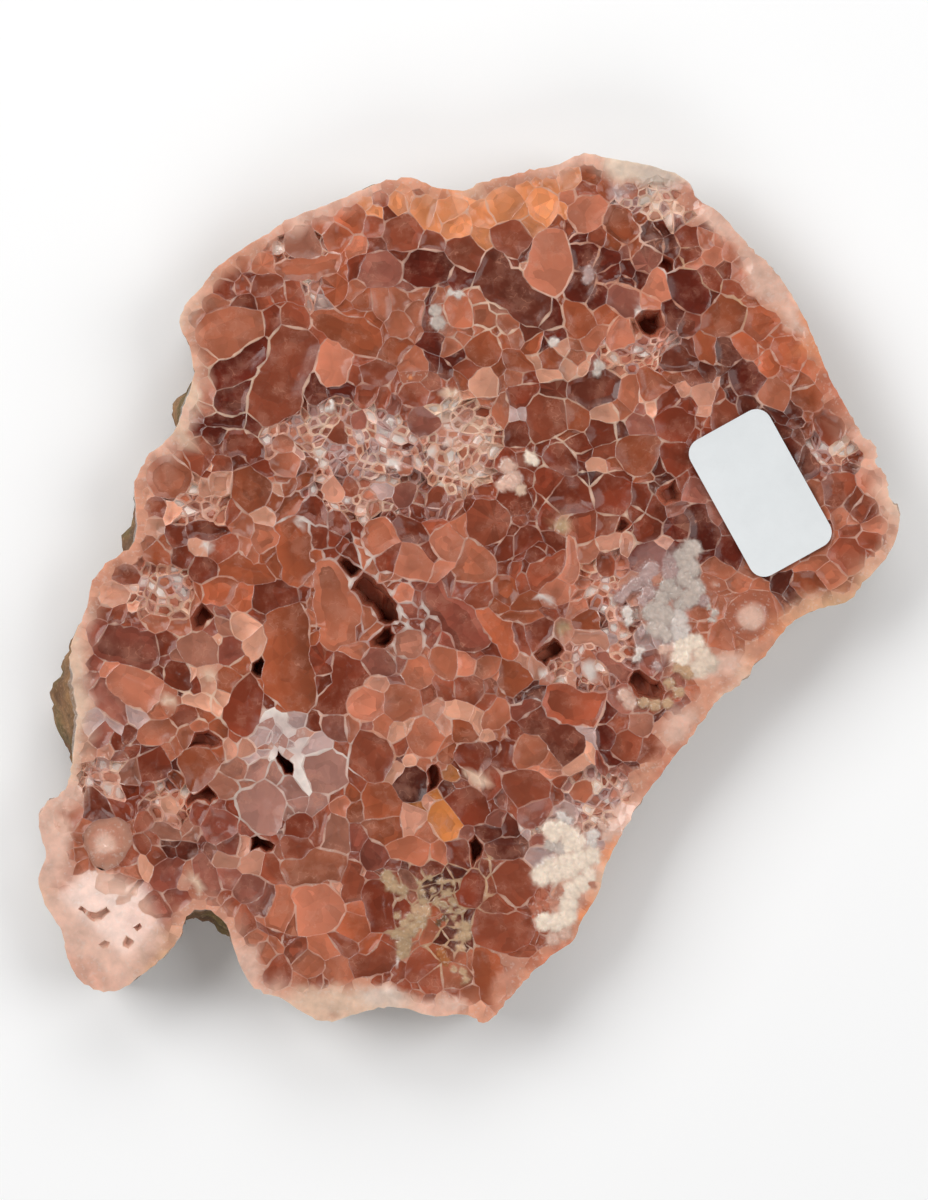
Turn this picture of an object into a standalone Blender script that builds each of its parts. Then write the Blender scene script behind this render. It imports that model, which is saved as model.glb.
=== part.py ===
"""Slice of pink amethyst with its natural rind, and the blank paper label on its polished face.

Places and lengths are in millimetres in the tables and are turned into metres when a mesh is made.
+Z points out of the polished face. The slice rests on its sawn back at z = 0.
"""

import math
import random

import bmesh
import bpy
from mathutils import Vector, kdtree, noise

MM = 0.001
SEED = 11

# The slab
THICKNESS = 12.0
EDGE_STEP = 2.8         # spacing of the facets along the cut edge
RIM = 1.1               # half the depth of the chalcedony cells that line the cut edge
UNDERCUT = 0.9          # how far the rind draws in at the foot
WALL_LEVELS = (0.86, 0.64, 0.40, 0.16)  # heights of the rind's rows of points, as shares of the thickness
LUMP_HEIGHT = 1.2       # height of the rind's broad lumps
LUMP_SPAN = 6.5         # distance from one broad lump to the next
KNOB_HEIGHT = 1.6       # height of the small round knobs on them
KNOB_SPAN = 3.1         # distance from one small knob to the next

# The crystals
GRAIN = 4.9             # usual spacing of the crystals that fill the gaps between the placed ones
SUGAR_GRAIN = 3.0       # the same in the sugary patches
SHORTEST_EDGE = 0.75    # borders shorter than this close up
WINDOW_SINK = 0.7       # how far a cut crystal's floor lies below the polished face
SUGAR_SINK = 0.9        # how far the valleys between the sugary points lie below it
BEVEL_SHARE = 0.34      # share of a crystal's half width taken by its sloping facets
HOLLOW_BEVEL = 0.22     # the same for the steeper walls of a hollow
FLOOR_TILT = 0.05       # largest slope of a crystal's floor

# The label
LABEL_SIZE = (12.7, 21.6)
LABEL_THICK = 0.3
LABEL_LIFT = 0.3        # gap between the label and the stone
LABEL_CORNER = 2.2
LABEL_CENTRE = (40.85, 13.05)
LABEL_BEARING = 29.0    # turn of the label's long side, anticlockwise from +Y

# The cut edge of the face, clockwise from the left shoulder
CUT_EDGE = (
    (-38.7, 31.5), (-39.2, 34.1), (-40.4, 36.6), (-39.7, 39.4), (-37.5, 41.7), (-35.6, 44.3),
    (-32.1, 47.0), (-29.0, 48.9), (-25.8, 50.9), (-23.0, 52.3), (-18.4, 54.0), (-14.5, 55.7),
    (-8.9, 57.3), (-5.3, 56.1), (-2.1, 55.5), (0.1, 55.6), (2.3, 56.8), (7.6, 57.9),
    (12.7, 59.2), (16.3, 60.7), (19.5, 60.0), (25.1, 59.0), (30.2, 57.1), (32.3, 54.3),
    (34.9, 52.5), (38.0, 49.2), (41.0, 46.1), (44.0, 42.7), (46.4, 38.7), (48.6, 34.3),
    (50.3, 29.8), (52.4, 25.9), (55.0, 21.4), (57.1, 19.6), (57.2, 17.2), (58.7, 15.2),
    (58.8, 12.6), (60.3, 10.4), (59.8, 6.4), (57.8, 3.2), (55.5, 0.6), (53.3, -2.0),
    (48.3, -3.5), (45.0, -5.3), (42.2, -8.8), (39.3, -12.0), (38.0, -13.9), (34.7, -16.1),
    (32.3, -19.6), (29.5, -23.0), (26.0, -27.6), (23.5, -31.0), (21.5, -34.8), (19.2, -39.2),
    (18.2, -42.9), (15.6, -47.3), (14.8, -49.4), (11.5, -51.9), (8.0, -55.0), (4.6, -59.2),
    (2.3, -61.0), (-0.5, -60.0), (-4.8, -60.2), (-10.0, -59.0), (-15.5, -59.8), (-19.5, -61.0),
    (-23.0, -59.7), (-26.5, -57.6), (-29.5, -56.7), (-31.8, -53.5), (-33.1, -49.8),
    (-34.3, -46.9), (-37.6, -45.2), (-39.6, -46.6), (-40.6, -49.6), (-43.8, -52.8),
    (-47.0, -55.3), (-50.3, -56.8), (-54.0, -55.6), (-56.2, -52.0), (-57.0, -48.2),
    (-58.9, -45.2), (-60.2, -41.0), (-59.2, -37.6), (-60.2, -33.0), (-58.8, -30.3),
    (-56.0, -27.4), (-55.2, -22.0), (-54.9, -18.0), (-55.2, -13.5), (-55.9, -10.0),
    (-55.0, -6.4), (-53.4, -3.0), (-52.7, 0.3), (-50.3, 3.5), (-47.4, 5.3), (-46.5, 7.6),
    (-46.5, 10.6), (-46.7, 14.0), (-45.2, 17.9), (-42.5, 20.2), (-40.6, 22.8), (-39.8, 25.6),
    (-38.7, 28.6),
)

# Where the rind swells out below the cut edge: x, y, shift in x, shift in y, reach
RIND_SWELLS = (
    (-39.8, 25.6, -2.6, 0.3, 3.6),
    (-46.7, 7.2, -2.9, 0.1, 3.4),
    (-55.0, -17.0, -4.9, 0.0, 6.6),
    (-36.0, -46.0, -0.3, -3.4, 4.0),
    (-58.2, -46.2, -0.9, -0.7, 2.2),
)

# Cut crystals with flat floors: x, y, half width, and for the long ones length and bearing in degrees
WINDOWS = (
    # upper left
    (-8.8, 50.1, 3.0), (-11.7, 43.9, 2.9), (-17.1, 35.8, 2.2, 5.5, -30), (-24.5, 37.3, 2.5),
    (-26.2, 29.5, 3.9, 6.5, 68), (-18.4, 31.4, 3.2), (-22.3, 44.7, 2.0, 5.5, 15), (-23.5, 48.4, 2.4),
    (-33.7, 36.0, 2.9, 3.5, 18), (-28.8, 42.0, 1.7), (-36.6, 27.4, 2.1), (-39.3, 22.6, 1.8),
    (-12.3, 30.0, 2.2), (-7.7, 30.5, 1.9), (-7.2, 27.2, 1.8), (-5.8, 23.2, 2.4), (-4.5, 37.6, 2.0),
    # top
    (-6.4, 52.6, 2.2), (-1.6, 52.2, 2.2), (3.4, 53.0, 2.3), (10.2, 53.4, 2.4), (-0.7, 46.8, 2.2),
    (11.1, 45.2, 3.6, 3.0, 78), (5.4, 48.8, 2.4), (15.1, 37.9, 2.7), (2.1, 32.4, 2.4), (6.9, 31.4, 1.9),
    (17.2, 34.0, 2.2), (16.8, 52.4, 2.8), (21.5, 51.0, 1.9, 2.0, 80), (21.7, 40.2, 2.3),
    (24.9, 45.8, 1.8), (26.8, 42.0, 2.0), (28.0, 47.6, 1.8), (34.0, 44.4, 2.0),
    # upper right
    (36.0, 37.5, 3.2), (41.4, 36.6, 2.4), (45.2, 32.6, 2.2), (43.4, 27.2, 2.2), (47.6, 26.4, 1.8),
    (17.4, 28.8, 2.8), (22.2, 27.4, 2.0), (25.7, 28.6, 2.4), (32.4, 27.0, 1.8), (35.9, 23.6, 2.3),
    (50.6, 22.6, 1.5, 1.8, -25), (51.5, 14.2, 2.3), (56.3, 14.4, 1.9), (51.8, 9.8, 2.0),
    (55.9, 9.8, 1.9), (53.3, 4.2, 2.5), (47.9, 0.4, 2.2, 1.5, 75),
    # middle right
    (4.3, 24.9, 1.9), (7.0, 21.7, 2.0), (11.0, 23.2, 3.0), (15.0, 23.9, 1.9), (8.7, 17.8, 1.7),
    (12.7, 17.6, 2.9), (6.1, 14.6, 2.0), (14.3, 12.3, 2.6), (24.0, 22.9, 1.8, 1.6, -15),
    (19.0, 20.4, 2.0), (23.6, 18.6, 2.9), (28.8, 22.3, 2.4), (29.5, 17.9, 2.5), (20.0, 12.6, 2.7),
    (24.0, 12.6, 1.8), (25.5, 8.0, 2.4), (2.6, 8.8, 2.8), (0.8, 3.4, 3.1), (8.0, 6.4, 1.5, 2.2, 40),
    (11.2, 2.6, 1.6, 2.4, 35), (15.0, 3.2, 1.5, 3.4, 85),
    # upper middle
    (-31.0, 13.4, 3.1), (-37.8, 18.3, 2.3), (-42.3, 15.3, 2.9), (-43.7, 11.0, 1.7), (-43.6, 4.2, 1.8),
    (-37.2, 2.2, 2.3), (-31.0, 1.6, 1.9, 5.0, -24), (-24.2, 5.0, 1.9, 6.5, -82), (-28.6, 6.6, 2.1),
    (-21.7, 10.4, 1.8), (-12.7, 7.3, 2.5), (-8.3, 3.0, 2.4), (-9.7, 13.0, 1.9), (-18.7, -3.0, 2.5, 7.5, -78),
    (-24.9, 11.2, 1.4, 1.8, 30),
    # middle left
    (-47.5, -8.8, 2.6, 4.6, -10), (-42.1, -8.2, 1.8), (-37.7, -9.0, 2.4), (-34.0, -9.0, 1.7),
    (-40.8, -12.7, 2.0), (-46.6, -14.2, 2.7, 1.8, -40), (-31.6, -16.6, 2.6, 4.0, 70),
    (-50.2, -16.6, 1.6, 4.0, -60), (-44.0, -20.3, 2.4), (-38.2, -19.2, 1.7, 2.4, -10),
    (-38.0, -25.8, 2.8), (-32.6, -25.2, 2.0), (-27.0, -1.6, 2.3, 2.0, 0), (-31.6, -2.6, 1.9),
    (-25.0, -10.2, 3.7, 8.5, -82), (-17.4, -14.4, 2.0, 6.0, 66), (-12.3, -11.0, 2.1),
    (-24.8, -20.6, 2.0, 3.0, -35), (-29.2, -20.4, 1.5), (-18.8, -20.4, 1.9), (-19.8, -26.6, 3.6),
    (-29.0, -31.0, 3.9), (-13.6, -23.6, 3.3),
    # middle
    (-2.0, -4.4, 2.4, 7.5, -50), (-8.4, -8.4, 2.0), (-3.6, -11.0, 2.4), (-14.6, -16.8, 2.1),
    (-9.2, -16.6, 2.7), (-4.4, -17.2, 1.6), (-6.3, -21.4, 2.6), (-8.0, -27.5, 2.5), (0.0, -14.2, 1.9),
    (4.4, -6.6, 1.6, 4.0, -65), (7.4, -4.4, 1.2, 3.0, -8), (7.2, -8.0, 1.7), (6.0, -12.6, 2.6),
    (4.0, -17.8, 2.2), (-0.4, -20.4, 2.0), (15.0, -16.8, 2.4, 4.0, -10), (8.6, -23.2, 2.3),
    (8.2, -28.0, 2.7), (0.0, -30.6, 2.6), (23.4, -21.6, 1.9), (28.0, -4.0, 2.8, 3.0, 70),
    (39.8, -3.2, 2.9), (35.6, -7.0, 2.0), (22.4, -16.4, 1.7),
    # bottom left
    (-50.4, -36.0, 3.3), (-46.0, -33.0, 1.7), (-34.9, -34.0, 2.4), (-42.0, -40.6, 2.4),
    (-36.4, -40.6, 1.7, 2.4, -70), (-43.9, -45.0, 1.9), (-49.2, -41.2, 1.5, 2.0, -15),
    (-38.4, -32.0, 1.7),
    # bottom middle
    (-23.4, -33.2, 1.9), (-24.2, -36.4, 2.2), (-18.2, -34.0, 2.5), (-21.5, -39.2, 2.3, 5.0, 5),
    (-21.3, -45.2, 3.5), (-16.0, -41.0, 1.6, 3.5, 80), (-26.2, -44.6, 1.6, 4.0, 80),
    (-13.0, -45.0, 2.2, 3.0, -80), (-12.8, -37.6, 1.6), (-8.4, -37.0, 2.4), (-8.2, -32.0, 1.6),
    (-3.4, -33.0, 2.5), (-12.6, -29.8, 2.5), (-10.0, -46.2, 1.7), (-16.4, -47.8, 1.8),
    (-13.4, -52.8, 1.9, 2.6, 20), (-6.9, -53.0, 2.2), (-19.8, -51.2, 1.5),
    # bottom right
    (5.6, -36.6, 1.6, 3.0, 10), (6.6, -41.2, 2.9), (4.4, -48.0, 2.5, 3.0, 12),
    (2.8, -54.6, 2.2, 4.0, -75), (9.0, -31.4, 1.9), (-5.6, -49.0, 1.6), (-2.4, -55.0, 1.7),
)

# Open hollows between the crystals: x, y, half width, depth, and length and bearing of the long ones
HOLLOWS = (
    (-5.6, 43.9, 2.6, 4.5), (-32.3, 31.4, 2.2, 3.0, 4.5, 22), (-32.7, 26.3, 2.2, 3.0),
    (-33.8, 23.0, 1.2, 4.5, 3.0, -8), (-31.2, 19.2, 2.1, 2.5, 2.5, 0), (-4.7, 33.9, 1.8, 4.0),
    (6.6, 41.5, 2.6, 5.5, 8.5, -42), (17.4, 47.2, 1.9, 4.5, 4.0, 0), (19.7, 42.9, 1.4, 4.0),
    (24.9, 37.1, 1.7, 6.0), (30.8, 41.2, 2.7, 3.5), (30.6, 36.4, 1.7, 2.5), (39.0, 29.4, 2.3, 4.5),
    (-17.8, 27.4, 1.4, 4.0, 1.6, -25), (30.4, 7.2, 3.2, 5.0), (28.2, 13.4, 1.6, 3.0),
    (-37.5, -4.2, 1.7, 4.0), (-28.8, -11.4, 1.3, 4.5), (-13.0, -1.6, 1.9, 6.0, 6.0, -57),
    (-17.5, 2.9, 1.1, 4.5), (-11.8, -7.4, 1.4, 5.0), (-25.2, -25.0, 1.0, 6.0, 1.6, -50),
    (-37.4, -21.9, 1.1, 3.0, 1.6, 0), (-37.2, -29.6, 1.3, 3.0, 3.0, 0), (-29.2, -36.5, 1.2, 4.5, 1.2, -25),
    (11.5, -8.8, 1.2, 4.0, 1.5, 20), (24.4, -13.7, 1.2, 4.5, 2.4, -25), (12.2, -20.6, 2.7, 2.5, 4.5, -35),
    (19.8, -21.2, 1.7, 2.5), (0.9, -36.8, 1.7, 5.0), (0.4, -42.6, 2.0, 3.0, 1.6, -75),
    (-4.6, -26.8, 1.1, 3.5, 1.6, -80), (20.9, 8.4, 1.3, 2.5),
)

# Sugary patches of small raised points: x, y, reach along x, reach along y
SUGAR_PATCHES = (
    (-17.0, 20.5, 13.0, 6.0), (-1.5, 19.5, 6.0, 8.0), (17.5, -10.0, 7.0, 5.0), (18.5, -28.5, 6.0, 5.5),
    (24.0, 33.0, 6.0, 3.5), (50.5, 19.0, 3.8, 3.6), (-44.0, -0.5, 5.5, 4.0), (-38.5, 11.5, 4.5, 3.5),
    (-51.0, -27.0, 4.0, 3.0), (-41.5, -30.0, 3.5, 2.5), (20.5, 1.0, 5.0, 5.0),
)

RIM_CRYSTAL = -1        # crystal number of the chalcedony rim
OUTSIDE = -2            # crystal number of the air past the cut edge


def clear_scene():
    for obj in list(bpy.data.objects):
        bpy.data.objects.remove(obj, do_unlink=True)


def material(name, colour, roughness):
    made = bpy.data.materials.new(name)
    made.use_nodes = True
    shader = made.node_tree.nodes["Principled BSDF"]
    shader.inputs["Base Color"].default_value = (*colour, 1.0)
    shader.inputs["Roughness"].default_value = roughness
    shader.inputs["Metallic"].default_value = 0.0
    return made


def even_loop(points, step):
    """Points about a step apart on the smooth closed curve through the given ones."""
    dense = []
    count = len(points)
    for i in range(count):
        a, b, c, d = (Vector(points[(i + k) % count]) for k in (-1, 0, 1, 2))
        for k in range(12):
            t = k / 12
            dense.append(0.5 * (2 * b + (c - a) * t + (2 * a - 5 * b + 4 * c - d) * t * t
                                + (3 * b - a - 3 * c + d) * t ** 3))
    lengths = [(dense[(i + 1) % len(dense)] - p).length for i, p in enumerate(dense)]
    total = sum(lengths)
    wanted = round(total / step)
    loop, run, k = [], 0.0, 0
    for i in range(wanted):
        target = total * i / wanted
        while run + lengths[k] < target:
            run += lengths[k]
            k += 1
        share = (target - run) / lengths[k]
        loop.append(dense[k].lerp(dense[(k + 1) % len(dense)], share))
    return loop


def outward(loop, i):
    """Outward direction at point i of a clockwise loop."""
    along = loop[(i + 1) % len(loop)] - loop[i - 1]
    return Vector((-along.y, along.x)).normalized()


class EdgeGauge:
    """Tells how deep inside the cut edge a place lies."""

    def __init__(self, loop):
        self.loop = loop
        self.tree = kdtree.KDTree(len(loop))
        for i, point in enumerate(loop):
            self.tree.insert(point.to_3d(), i)
        self.tree.balance()

    def depth(self, place):
        near, i, _ = self.tree.find(place.to_3d())
        return (near.to_2d() - place).dot(outward(self.loop, i))


def sugar_at(place):
    """1 in the middle of a sugary patch, 0 outside all of them."""
    found = 0.0
    for x, y, reach_x, reach_y in SUGAR_PATCHES:
        gone = math.hypot((place.x - x) / reach_x, (place.y - y) / reach_y)
        found = max(found, min(1.0, max(0.0, 3.0 * (1.0 - gone))))
    return found


def along_axis(x, y, width, length=0.0, bearing=0.0):
    """Centres that together make one long crystal."""
    count = 1 + math.ceil(length / (1.1 * width)) if length else 1
    way = Vector((math.cos(math.radians(bearing)), math.sin(math.radians(bearing))))
    shares = [k / (count - 1) - 0.5 if count > 1 else 0.0 for k in range(count)]
    return [Vector((x, y)) + way * length * share for share in shares]


class Layout:
    """Centres of all crystals: each has a place, a half width and the number of its crystal."""

    def __init__(self):
        self.places, self.widths, self.crystals, self.sinks = [], [], [], []

    def add(self, place, width, crystal):
        self.places.append(place)
        self.widths.append(width)
        self.crystals.append(crystal)

    def add_rim(self, rng):
        loop = even_loop(CUT_EDGE, EDGE_STEP)
        for i, point in enumerate(loop):
            point = point + outward(loop, i) * rng.uniform(-0.12, 0.12)
            half = RIM * rng.uniform(0.85, 1.15)
            self.add(point - outward(loop, i) * half, half, RIM_CRYSTAL)
            self.add(point + outward(loop, i) * half, half, OUTSIDE)

    def add_placed(self, gauge):
        rows = [(row[:3], WINDOW_SINK, row[3:]) for row in WINDOWS]
        rows += [(row[:3], row[3], row[4:]) for row in HOLLOWS]
        for (x, y, width), sink, axis in rows:
            for place in along_axis(x, y, width, *axis):
                room = gauge.depth(place) - RIM
                self.add(place, min(width, max(0.6, room)), len(self.sinks))
            self.sinks.append(sink)

    def add_fill(self, gauge, rng):
        """Crystals of uneven size dropped wherever there is still room."""
        for _ in range(9000):
            place = Vector((rng.uniform(-61, 61), rng.uniform(-61, 61)))
            grain = GRAIN + (SUGAR_GRAIN - GRAIN) * sugar_at(place)
            width = 0.5 * grain * rng.uniform(0.75, 1.15)
            if gauge.depth(place) < 2 * RIM + 0.35 * width:
                continue
            if all((place - other).length > 0.82 * (width + size)
                   for other, size in zip(self.places, self.widths)):
                self.add(place, width, len(self.sinks))
                self.sinks.append(None)


def crystal_cells(layout):
    """The power diagram of the layout: for each crystal inside, the closed lists of its corners.

    A corner is named by the three centres that meet there, so neighbours share it exactly.
    """
    tree = kdtree.KDTree(len(layout.places))
    for i, place in enumerate(layout.places):
        tree.insert(place.to_3d(), i)
    tree.balance()
    corners, cells = {}, {}
    for i, place in enumerate(layout.places):
        if layout.crystals[i] == OUTSIDE:
            continue
        far = 3.0 * layout.widths[i] + 6.0
        outline = [(place + Vector(way) * far, -1) for way in ((1, 1), (-1, 1), (-1, -1), (1, -1))]
        for near, j, _ in tree.find_range(place.to_3d(), 2.0 * far):
            if j == i:
                continue
            other = near.to_2d()
            normal = 2.0 * (other - place)
            limit = (other.length_squared - place.length_squared
                     - layout.widths[j] ** 2 + layout.widths[i] ** 2)
            outline = cut_outline(outline, normal, limit, j)
        if len(outline) < 3:
            continue
        names = []
        for k, (point, label) in enumerate(outline):
            name = tuple(sorted((i, label, outline[k - 1][1])))
            corners.setdefault(name, point)
            names.append(name)
        cells.setdefault(layout.crystals[i], []).append(names)
    return corners, cells


def cut_outline(outline, normal, limit, label):
    """Keeps the part of a convex outline on the near side of a line, whose new edge gets the label."""
    kept = []
    for k, (point, edge) in enumerate(outline):
        after = outline[(k + 1) % len(outline)][0]
        here, there = normal.dot(point) - limit, normal.dot(after) - limit
        if here <= 0:
            kept.append((point, edge))
        if here * there < 0:
            crossing = point.lerp(after, here / (here - there))
            kept.append((crossing, label if here < 0 else edge))
    return kept


def close_short_edges(corners, cells):
    """Lets corners nearer than SHORTEST_EDGE to each other along a border become one."""
    parent = {name: name for name in corners}

    def root(name):
        while parent[name] != name:
            name = parent[name]
        return name

    edges = []
    for outlines in cells.values():
        for names in outlines:
            for k, name in enumerate(names):
                edges.append(((corners[name] - corners[names[k - 1]]).length, name, names[k - 1]))
    for length, one, other in sorted(edges):
        a, b = root(one), root(other)
        if a != b and (corners[a] - corners[b]).length < SHORTEST_EDGE:
            corners[a] = (corners[a] + corners[b]) / 2
            parent[b] = a
    for crystal, outlines in cells.items():
        closed = []
        for names in outlines:
            names = [root(name) for name in names]
            names = [name for k, name in enumerate(names) if name != names[k - 1]]
            if len(set(names)) == len(names) >= 3:
                closed.append(names)
        cells[crystal] = closed


def joined_outline(outlines):
    """The outer border of cells that belong to one crystal."""
    steps = {(names[k - 1], name) for names in outlines for k, name in enumerate(names)}
    after = {a: b for a, b in steps if (b, a) not in steps}
    start = min(after)
    loop = [start]
    while after[loop[-1]] != start:
        loop.append(after[loop[-1]])
    return loop if len(loop) == len(after) else None


def spine_of(outlines, corners):
    """Middles of a crystal's cells, which its facets slope towards."""
    return [sum((corners[name] for name in names), Vector((0, 0))) / len(names) for names in outlines]


def nearest_on(spine, place):
    """The place on a spine that is nearest to the given one."""
    best = spine[0]
    for a, b in zip(spine, spine[1:]):
        run = b - a
        share = min(1.0, max(0.0, (place - a).dot(run) / max(run.length_squared, 1e-9)))
        spot = a + run * share
        if (spot - place).length < (best - place).length:
            best = spot
    return best


def rind_shift(place):
    """How far the rind swells out at the foot below a place on the cut edge."""
    shift = Vector((0, 0))
    for x, y, shift_x, shift_y, reach in RIND_SWELLS:
        gone = (place - Vector((x, y))).length / reach
        shift += Vector((shift_x, shift_y)) * math.exp(-gone * gone)
    return shift


class SliceMesh:
    """Collects the slice's points and faces, in millimetres."""

    def __init__(self):
        self.bm = bmesh.new()

    def point(self, place, height):
        return self.bm.verts.new((place.x, place.y, height))

    def border_height(self, place):
        return THICKNESS - SUGAR_SINK * sugar_at(place)

    def dish(self, border, spine, bevel, sink, slope):
        """Sloping facets from a border down to a flat, tilted floor."""
        low = THICKNESS - sink
        middle = spine[len(spine) // 2]
        floor = []
        for vert in border:
            place = vert.co.to_2d()
            place = place.lerp(nearest_on(spine, place), bevel)
            floor.append(self.point(place, min(vert.co.z - 0.05, low + slope.dot(place - middle))))
        for k in range(len(border)):
            self.bm.faces.new((border[k - 1], border[k], floor[k], floor[k - 1]))
        self.bm.faces.new(floor)

    def tip(self, border, place, height):
        """Facets that rise or fall from a border to one point."""
        top = self.point(place, height)
        for k in range(len(border)):
            self.bm.faces.new((border[k - 1], border[k], top))

    def wall(self, edge):
        """Rind from the cut edge down to the foot, and the flat sawn back."""
        rows = [edge]
        for level in (*WALL_LEVELS, 0.0):
            rows.append([self.wall_point(edge, k, level) for k in range(len(edge))])
        for upper, lower in zip(rows, rows[1:]):
            for k in range(len(edge)):
                self.bm.faces.new((upper[k], upper[k - 1], lower[k - 1], lower[k]))
        self.bm.faces.new(rows[-1][::-1])

    def wall_point(self, edge, k, level):
        place = edge[k].co.to_2d()
        along = edge[(k + 1) % len(edge)].co.to_2d() - edge[k - 1].co.to_2d()
        out = Vector((along.y, -along.x)).normalized()
        swell = rind_shift(place) * min(1.0, 1.6 * (1.0 - level))
        spot = Vector((place.x, place.y, THICKNESS * level))
        lump = LUMP_HEIGHT * noise.noise(spot / LUMP_SPAN) + KNOB_HEIGHT * abs(noise.noise(spot / KNOB_SPAN))
        inward = 0.4 * LUMP_HEIGHT + UNDERCUT * (1.0 - level) ** 2
        return self.point(place + swell + out * (lump - inward), THICKNESS * level)


def cut_edge_loop(mesh):
    """The open border left round the face, anticlockwise seen from above."""
    after = {}
    for edge in mesh.bm.edges:
        if len(edge.link_loops) == 1:
            loop = edge.link_loops[0]
            after[loop.vert] = loop.link_loop_next.vert
    start = next(iter(after))
    border = [start]
    while after[border[-1]] is not start:
        border.append(after[border[-1]])
    return border


def build_slice():
    rng = random.Random(SEED)
    layout = Layout()
    gauge = EdgeGauge(even_loop(CUT_EDGE, 1.0))
    layout.add_rim(rng)
    layout.add_placed(gauge)
    layout.add_fill(gauge, rng)
    corners, cells = crystal_cells(layout)
    close_short_edges(corners, cells)
    mesh = SliceMesh()
    verts = {}
    for crystal, outlines in sorted(cells.items()):
        joined = joined_outline(outlines) if crystal != RIM_CRYSTAL and outlines else None
        for names in [joined] if joined else outlines:
            for name in names:
                if name not in verts:
                    verts[name] = mesh.point(corners[name], mesh.border_height(corners[name]))
            border = [verts[name] for name in names]
            spine = spine_of(outlines if joined else [names], corners)
            if crystal == RIM_CRYSTAL:
                mesh.bm.faces.new(border)
                continue
            sink = layout.sinks[crystal]
            slope = Vector((rng.uniform(-1, 1), rng.uniform(-1, 1))) * FLOOR_TILT
            if sink is None:
                rise = sugar_at(spine[0]) > 0.3
                mesh.tip(border, spine[0], THICKNESS - (0.0 if rise else WINDOW_SINK * rng.uniform(0.6, 1.6)))
            else:
                bevel = BEVEL_SHARE if sink <= WINDOW_SINK else HOLLOW_BEVEL
                mesh.dish(border, spine, bevel, sink, slope)
    mesh.wall(cut_edge_loop(mesh))
    return mesh.bm


def rounded_label():
    """Corner points of the label's outline, anticlockwise, in its own frame."""
    half_x, half_y = LABEL_SIZE[0] / 2 - LABEL_CORNER, LABEL_SIZE[1] / 2 - LABEL_CORNER
    points = []
    for corner, (x, y) in enumerate(((half_x, half_y), (-half_x, half_y), (-half_x, -half_y), (half_x, -half_y))):
        for k in range(7):
            angle = math.radians(90 * corner + 15 * k)
            points.append(Vector((x + LABEL_CORNER * math.cos(angle), y + LABEL_CORNER * math.sin(angle))))
    return points


def build_label():
    bm = bmesh.new()
    turn = math.radians(LABEL_BEARING)
    low = THICKNESS + LABEL_LIFT
    ring = []
    for point in rounded_label():
        x = point.x * math.cos(turn) - point.y * math.sin(turn) + LABEL_CENTRE[0]
        y = point.x * math.sin(turn) + point.y * math.cos(turn) + LABEL_CENTRE[1]
        ring.append(bm.verts.new((x, y, low)))
    face = bm.faces.new(ring)
    top = bmesh.ops.extrude_face_region(bm, geom=[face])["geom"]
    bmesh.ops.translate(bm, verts=[v for v in top if isinstance(v, bmesh.types.BMVert)],
                        vec=(0, 0, LABEL_THICK))
    return bm


def place_object(name, bm, shift, finish, smooth_angle=None):
    """Turns a mesh in millimetres into an object in metres, moved by the shift."""
    bmesh.ops.translate(bm, verts=bm.verts, vec=shift)
    bmesh.ops.scale(bm, vec=(MM, MM, MM), verts=bm.verts)
    bmesh.ops.recalc_face_normals(bm, faces=bm.faces)
    mesh = bpy.data.meshes.new(name)
    bm.to_mesh(mesh)
    bm.free()
    mesh.materials.append(finish)
    if smooth_angle:
        mesh.shade_smooth()
        mesh.set_sharp_from_angle(angle=smooth_angle)
    obj = bpy.data.objects.new(name, mesh)
    bpy.context.scene.collection.objects.link(obj)
    return obj


def main():
    clear_scene()
    stone = build_slice()
    spread = [[vert.co[axis] for vert in stone.verts] for axis in (0, 1)]
    shift = Vector([-(min(side) + max(side)) / 2 for side in spread] + [0.0])
    place_object("slice", stone, shift, material("amethyst", (0.36, 0.10, 0.06), 0.25))
    place_object("sticker", build_label(), shift, material("paper", (0.85, 0.86, 0.84), 0.5),
                 smooth_angle=math.radians(40))


main()
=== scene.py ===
"""A sawn slice of pink amethyst: polished crystals, hollows, chalcedony rim, rind and a blank paper label.

Places and lengths in the tables are in millimetres, in the slice's own plan, and are turned into metres
when a mesh is made. +Z points out of the polished face and the slice lies on its sawn back at z = 0.
"""

import math
import random
from collections import namedtuple

import bpy
import numpy as np
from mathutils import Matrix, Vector, kdtree, noise


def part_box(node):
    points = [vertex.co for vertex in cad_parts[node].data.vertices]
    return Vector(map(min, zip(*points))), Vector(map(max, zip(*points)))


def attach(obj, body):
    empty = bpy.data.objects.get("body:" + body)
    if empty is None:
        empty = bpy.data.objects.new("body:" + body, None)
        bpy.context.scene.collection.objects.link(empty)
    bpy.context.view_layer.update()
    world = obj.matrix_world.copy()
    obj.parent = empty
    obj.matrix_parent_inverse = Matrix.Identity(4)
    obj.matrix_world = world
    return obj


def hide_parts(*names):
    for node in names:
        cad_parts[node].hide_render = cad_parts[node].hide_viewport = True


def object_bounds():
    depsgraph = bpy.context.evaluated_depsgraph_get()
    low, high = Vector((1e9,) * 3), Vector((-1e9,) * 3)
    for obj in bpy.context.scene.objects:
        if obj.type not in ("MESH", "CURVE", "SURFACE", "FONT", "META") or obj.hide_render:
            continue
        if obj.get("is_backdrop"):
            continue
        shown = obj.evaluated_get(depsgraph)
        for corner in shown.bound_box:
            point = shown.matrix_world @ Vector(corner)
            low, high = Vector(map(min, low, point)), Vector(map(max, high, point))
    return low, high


bl_info = {
    "name": "Amethyst Slice",
    "version": (1, 0, 0),
    "blender": (4, 5, 0),
    "location": "3D View > Sidebar > Slice",
    "description": "Builds a polished slice of pink amethyst with its label and a plain stage",
    "category": "Add Mesh",
}

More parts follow.
